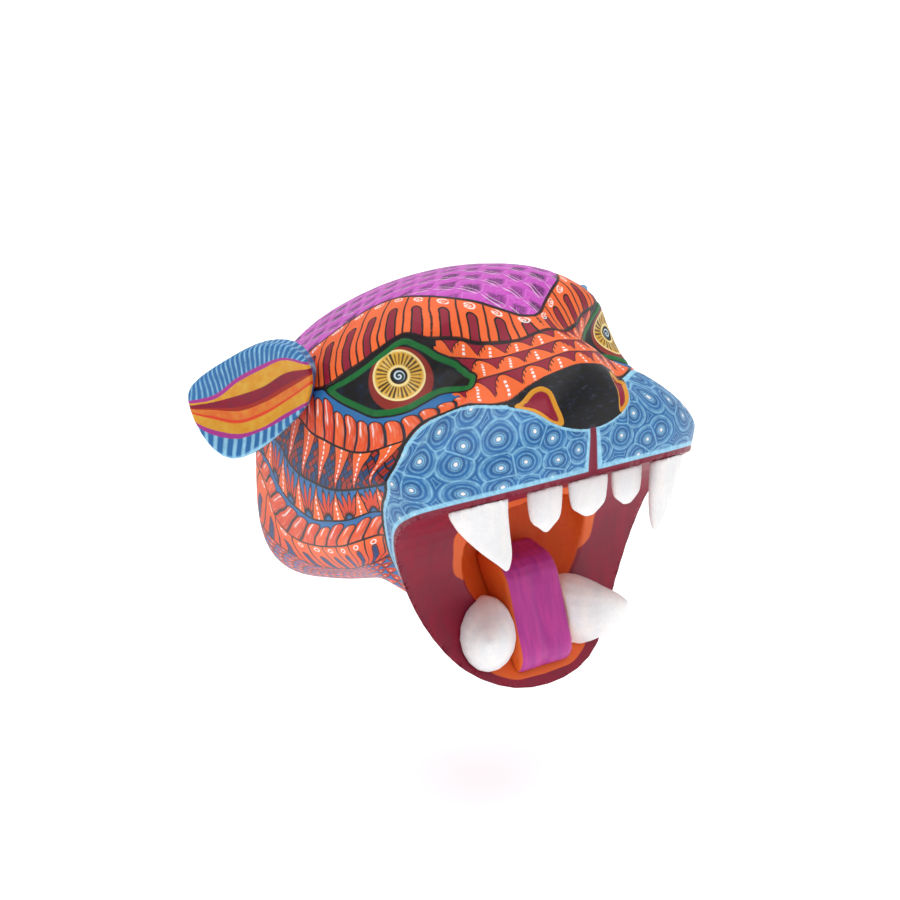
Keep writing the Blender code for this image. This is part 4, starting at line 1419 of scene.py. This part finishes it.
    def cut(self, mesh: bpy.types.Mesh, fields: dict[str, np.ndarray]) -> None:
        """Cut the nostrils, the lip groove and the steps at the nose, muzzle and eyes into the wood.

        Args:
            mesh: The carving.
            fields: What measure returned.
        """
        outside = (fields["mouth"] < 0) & (fields["wood"] < 0)
        nose, nostril, muzzle, eye = (fields[name] for name in ("nose", "nostril", "muzzle", "eye"))
        depth = Chisel(0.7, 2.5).step(nose)
        depth += self.nostril_depth * np.clip((nostril - 0.8) / 2.5, 0.0, 1.0)
        depth += Chisel(1.2, 1.7).groove(fields["groove"]) * (nose < 1.0)
        depth += Chisel(0.7, 3.0).step(muzzle)
        depth += Chisel(0.5, 1.0).groove(eye)
        depth += Chisel(0.25, 0.8).groove(fields["crown"]) + Chisel(0.25, 0.9).groove(fields["brow"])
        depth = np.where(outside, depth, 0.0)
        places = read_vectors(mesh) - read_normals(mesh) * (depth * MM)[:, None]
        mesh.vertices.foreach_set("co", places.ravel())
        mesh.update()

    def choose(self, fields: dict[str, np.ndarray], corners: np.ndarray, starts: np.ndarray) -> np.ndarray:
        """Choose the painted field of every face.

        Args:
            fields: What measure returned.
            corners: The point numbers of all faces, one face after the other.
            starts: Where each face starts in that list.

        Returns:
            Place of each face's field in the Field list.
        """
        sizes = np.diff(np.append(starts, len(corners)))
        mean = {name: np.add.reduceat(values[corners], starts) / sizes for name, values in fields.items()}
        order = list(Field)
        chosen = np.full(len(starts), order.index(Field.CHEEKS))
        bridge = (mean["brow"] < 0) & (np.abs(mean["x"]) < 46) & (mean["z"] > 9) & (mean["y"] < -105)
        steps = (
            (Field.BRIDGE, bridge), (Field.BROW, mean["brow"] > 0), (Field.CROWN, mean["crown"] > 0),
            (Field.EYES, mean["eye"] > 0), (Field.MUZZLE, mean["muzzle"] > 0),
            (Field.NOSE, mean["nose"] > 0), (Field.MOUTH, mean["mouth"] > 0),
            (Field.BACK, mean["wood"] > 0),
        )
        for field, here in steps:
            chosen[here] = order.index(field)
        return chosen

    def stored(self, field: Field, fields: dict[str, np.ndarray]) -> tuple[np.ndarray, np.ndarray]:
        """Return the pattern and edge vectors that a field's paint reads."""
        x, y, z = fields["x"], fields["y"], fields["z"]
        none = np.zeros_like(x)
        turn = np.arctan2(x, -(y + 110.0)) * self.muzzle_radius

        def patch(name: str) -> tuple[np.ndarray, ...]:
            """Return a patch's three readings."""
            return tuple(fields[f"{name}_{part}"] for part in ("along", "level", "width"))

        table = {
            Field.BACK: ((none, none, none), (none, none, none)),
            Field.MOUTH: ((fields["throat"], none, none), (none, none, none)),
            Field.NOSE: ((none, none, none), (fields["nostril"], none, none)),
            Field.MUZZLE: ((turn, z, fields["groove"]), (fields["muzzle"], fields["lip"], fields["nose"])),
            Field.EYES: ((fields["iris_x"], fields["iris_y"], fields["eye"]), (none, none, none)),
            Field.CROWN: ((np.arctan2(x, z + 10.0) * self.crown_radius, y + 129.0, none),
                          (fields["crown"], none, none)),
            Field.BROW: (patch("band"), (fields["crown"], fields["brow"], none)),
            Field.BRIDGE: (patch("bridge"), (fields["brow"], fields["eye"], fields["muzzle"])),
            Field.CHEEKS: (patch("cheek"), (fields["eye"], fields["muzzle"], fields["brow"])),
        }
        pattern, edges = table[field]
        return np.stack(pattern, 1), np.stack(edges, 1)

    def finishes(self) -> dict[Field, bpy.types.Material]:
        """Make the paint of every field."""
        return {
            Field.BACK: BareWood("back_of_the_carving").make(),
            Field.MOUTH: PaintedFinish("mouth_paint", MouthLining()).make(),
            Field.NOSE: PaintedFinish("nose_paint", NosePad()).make(),
            Field.MUZZLE: PaintedFinish("muzzle_paint", SwirlRings()).make(),
            Field.EYES: PaintedFinish("eye_paint", PaintedEye()).make(),
            Field.CROWN: PaintedFinish("crown_paint", CrownScales()).make(),
            Field.BROW: PaintedFinish("brow_paint", BrowPanels()).make(),
            Field.BRIDGE: PaintedFinish("bridge_paint", BridgeFans()).make(),
            Field.CHEEKS: PaintedFinish("cheek_paint", CheekBands()).make(),
        }

    def build(self) -> list[bpy.types.Object]:
        """Carve, cut and paint the head and return its skins."""
        carving = self.carver.copy(self.node, "carving")
        mesh = carving.data
        self.ease_rim(mesh)
        fields = self.score(mesh, self.measure(mesh))
        self.cut(mesh, fields)
        places, normals = read_vectors(mesh), read_normals(mesh)
        corners, starts = np.empty(len(mesh.loops), np.int32), np.empty(len(mesh.polygons), np.int32)
        mesh.loops.foreach_get("vertex_index", corners)
        mesh.polygons.foreach_get("loop_start", starts)
        chosen = self.choose(fields, corners, starts)
        faces = np.split(corners, starts[1:])
        finishes = self.finishes()
        skins = []
        for index, field in enumerate(Field):
            own = [faces[number] for number in np.flatnonzero(chosen == index)]
            used, fresh = np.unique(np.concatenate(own), return_inverse=True)
            ends = np.cumsum([len(face) for face in own])
            skin_mesh = bpy.data.meshes.new(field.value)
            polygons = [part.tolist() for part in np.split(fresh, ends[:-1])]
            skin_mesh.from_pydata(places[used].tolist(), [], polygons)
            skin_mesh.shade_smooth()
            skin_mesh.normals_split_custom_set_from_vertices(normals[used].tolist())
            pattern, edges = self.stored(field, fields)
            write_vectors(skin_mesh, "pattern", pattern[used])
            write_vectors(skin_mesh, "edges", edges[used])
            skin_mesh.materials.append(finishes[field])
            skin = bpy.data.objects.new(field.value, skin_mesh)
            bpy.context.scene.collection.objects.link(skin)
            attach(skin, "mask")
            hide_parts("head_shell")
            skins.append(skin)
        bpy.data.objects.remove(carving)
        return skins


# ------------------------------------------------------------ ears, teeth, tongue, hanger

EAR_BANDS: tuple[Points, ...] = (
    ((36, 4), (22, 18), (9, 26), (-3, 31), (-15, 33), (-31, 25)),
    ((35, -1), (22, 2), (9, 12), (-3, 19), (-15, 24), (-31, 23)),
    ((35, -2), (22, 0), (9, 10), (-3, 17), (-15, 23), (-31, 22)),
    ((35, -3), (22, -1), (9, 3), (-3, 8), (-15, 16), (-31, 21)),
    ((34, -4), (22, -4), (9, -3), (-3, 2), (-15, 10), (-31, 19)),
    ((34, -4.6), (22, -5.6), (10, -7), (-3, -2), (-15, 5), (-31, 17)),
    ((33, -6), (22, -9), (10, -11), (-3, -6), (-15, 2), (-30, 13)),
    ((31, -10), (22, -14), (9, -16), (-3, -12), (-15, -4), (-28, 4)),
    ((31, -11), (22, -16), (10, -18), (-3, -13), (-15, -6), (-27, 2)),
    ((30, -15), (22, -25), (10, -30), (-3, -23), (-15, -14), (-26, -2)),
)


@dataclass
class Ear:
    """One pegged ear, painted in nested bands round a flame."""

    node: bpy.types.Object
    middle: tuple[float, float, float] = (-103.0, -42.0, -2.0)
    facing: tuple[float, float, float] = (-0.80, -0.60, 0.06)
    carver: Carver = Carver(0.6, 4)

    def build(self, finish: bpy.types.Material) -> bpy.types.Object:
        """Carve and paint the ear.

        Args:
            finish: The ear's paint.

        Returns:
            The ear.
        """
        ear = self.carver.copy(self.node, f"{self.node.name}_carving")
        places, normals = right_side(to_carving(read_vectors(ear.data))), read_normals(ear.data)
        if "left" in self.node.name:
            normals[:, 0] *= -1
        facing = Vector(self.facing).normalized()
        height = (Vector((0, 0, 1)) - facing.z * facing).normalized()
        length = height.cross(facing).normalized()
        length = -length if length.y < 0 else length
        offset = places - self.middle
        flat = np.stack([offset @ length, offset @ height, np.zeros(len(offset))], 1)
        bands = tuple(tuple((*p, 0.0) for p in row) for row in EAR_BANDS)
        write_vectors(ear.data, "pattern", PaintPatch(bands, steps=2, curved=False).read(flat))
        front = normals @ np.array(facing)
        write_vectors(ear.data, "edges", np.stack([front, flat[:, 0], flat[:, 1]], 1))
        ear.data.materials.append(finish)
        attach(ear, "mask")
        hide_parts(self.node.name)
        return ear


@dataclass
class Teeth:
    """The seven carved teeth in brushed white."""

    nodes: dict[str, bpy.types.Object]
    carver: Carver = Carver(0.7, 14)

    def build(self) -> list[bpy.types.Object]:
        """Carve and paint the teeth."""
        finish = StreakedFinish("tooth_paint", Paint.ENAMEL, Paint.WHITE, 0.8, (1.0, 1.0, 0.25)).make()
        teeth = []
        for name, node in self.nodes.items():
            tooth = self.carver.copy(node, f"{name}_carving")
            tooth.data.materials.append(finish)
            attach(tooth, "mask")
            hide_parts(name)
            teeth.append(tooth)
        return teeth


@dataclass
class Tongue:
    """The tongue, with a shallow groove down its middle and streaked magenta paint."""

    node: bpy.types.Object
    carver: Carver = Carver(0.8, 5)
    groove_depth: float = 1.0
    groove_width: float = 3.0

    def build(self) -> bpy.types.Object:
        """Carve and paint the tongue."""
        tongue = self.carver.copy(self.node, "tongue_carving")
        places, normals = read_vectors(tongue.data), read_normals(tongue.data)
        front = np.clip(-normals[:, 1], 0.0, 1.0)
        depth = self.groove_depth * np.exp(-(places[:, 0] / MM / self.groove_width) ** 2) * front
        places = places - normals * (depth * MM)[:, None]
        tongue.data.vertices.foreach_set("co", places.ravel())
        tongue.data.update()
        finish = StreakedFinish("tongue_paint", Paint.MAGENTA, Paint.ROSE, 0.6, (1.2, 0.4, 0.1), 260.0,
                                Paint.THROAT).make()
        write_vectors(tongue.data, "edges", np.abs(normals))
        tongue.data.materials.append(finish)
        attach(tongue, "mask")
        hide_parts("tongue")
        return tongue


def dress(node: bpy.types.Object, finish: bpy.types.Material) -> None:
    """Give a carried-over CAD node its finish."""
    for slot in node.material_slots:
        slot.material = finish


# ------------------------------------------------------------ studio

@dataclass(frozen=True)
class Lamp:
    """One soft square light: where it hangs, its width in metres and its power in watts."""

    name: str
    place: tuple[float, float, float]
    width: float
    power: float


LAMPS = (Lamp("key_light", (-0.5, -1.0, 1.3), 0.9, 4.6), Lamp("fill_light", (1.1, -0.9, 0.5), 1.2, 1.15),
         Lamp("top_light", (0.0, 0.2, 1.8), 2.5, 24.0))


@dataclass(frozen=True)
class Studio:
    """A pale seamless floor, soft light all round and the camera."""

    camera_place: tuple[float, float, float] = (-0.5793, -0.8813, 0.2804)
    camera_back: tuple[float, float, float] = (-0.5753, -0.7709, 0.2735)
    lens: float = 84.0
    sensor: float = 36.0
    shift: tuple[float, float] = (-0.060, -0.108)
    floor_drop: float = 0.08
    floor_glow: float = 0.42
    floor_size: float = 80.0
    paper: float = 0.93
    surround: float = 0.6
    middle: tuple[float, float, float] = (0.0, -0.09, -0.04)

    def build(self, low: Vector) -> None:
        """Set up floor, lights and camera.

        Args:
            low: Lowest corner of the mask.
        """
        self.floor(low.z - self.floor_drop)
        for lamp in LAMPS:
            self.light(lamp)
        world = bpy.data.worlds.new("studio_light")
        world.use_nodes = True
        background = world.node_tree.nodes["Background"]
        background.inputs["Color"].default_value = (1.0, 1.0, 1.0, 1.0)
        background.inputs["Strength"].default_value = self.surround
        scene = bpy.context.scene
        scene.world = world
        scene.view_settings.view_transform = "Standard"
        camera = bpy.data.cameras.new("camera")
        camera.lens = self.lens
        camera.sensor_width = self.sensor
        camera.shift_x, camera.shift_y = self.shift
        item = bpy.data.objects.new("camera", camera)
        scene.collection.objects.link(item)
        item.location = self.camera_place
        item.rotation_euler = (-Vector(self.camera_back)).to_track_quat("-Z", "Y").to_euler()
        scene.camera = item

    def floor(self, height: float) -> None:
        """Lay the pale floor."""
        bpy.ops.object.select_all(action="DESELECT")
        bpy.ops.mesh.primitive_plane_add(size=self.floor_size, location=(0.0, 0.0, height))
        floor = bpy.context.active_object
        floor.name = "studio_floor"
        material, bench, shader = start_material("pale_paper")
        paper = bench.noise(bench.place(), 30.0, 2.0)
        grey = bench.node("ShaderNodeCombineColor")
        for socket in grey.inputs[:3]:
            bench.put(socket, paper * 0.01 + self.paper)
        bench.put(shader.inputs["Base Color"], Term(bench, grey.outputs[0]))
        bench.put(shader.inputs["Roughness"], paper * 0.05 + 0.9)
        shader.inputs["Emission Color"].default_value = (1.0, 1.0, 1.0, 1.0)
        shader.inputs["Emission Strength"].default_value = self.floor_glow
        floor.data.materials.append(material)
        floor.select_set(False)
        floor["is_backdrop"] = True

    def light(self, lamp: Lamp) -> None:
        """Hang one light that faces the mask."""
        source = bpy.data.lights.new(lamp.name, "AREA")
        source.size = lamp.width
        source.energy = lamp.power
        item = bpy.data.objects.new(lamp.name, source)
        bpy.context.scene.collection.objects.link(item)
        item.location = lamp.place
        aim = Vector(self.middle) - Vector(lamp.place)
        item.rotation_euler = aim.to_track_quat("-Z", "Y").to_euler()


def main() -> None:
    """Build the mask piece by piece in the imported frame."""
    logging.basicConfig(level=logging.INFO, format="%(message)s")
    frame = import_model()
    cad_low, cad_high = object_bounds()
    nodes = frame["nodes"]
    for skin in HeadCarving(nodes["head_shell"]).build():
        LOG.info("%s: %d faces", skin.name, len(skin.data.polygons))
    ear_finish = PaintedFinish("ear_paint", EarFlame()).make()
    for side in ("right", "left"):
        ear = Ear(nodes[f"ear_{side}"]).build(ear_finish)
        LOG.info("%s: %d faces", ear.name, len(ear.data.polygons))
    teeth = {name: node for name, node in nodes.items() if "fang" in name or "tooth" in name}
    for piece in [*Teeth(teeth).build(), Tongue(nodes["tongue"]).build()]:
        LOG.info("%s: %d faces", piece.name, len(piece.data.polygons))
    peg_wood, steel = BareWood("peg_wood").make(), ZincSteel().make()
    for name, node in nodes.items():
        if name.startswith("hanger"):
            dress(node, steel)
        elif name.startswith("ear_peg"):
            dress(node, peg_wood)
    Studio().build(cad_low)


if __name__ == "__main__":
    main()
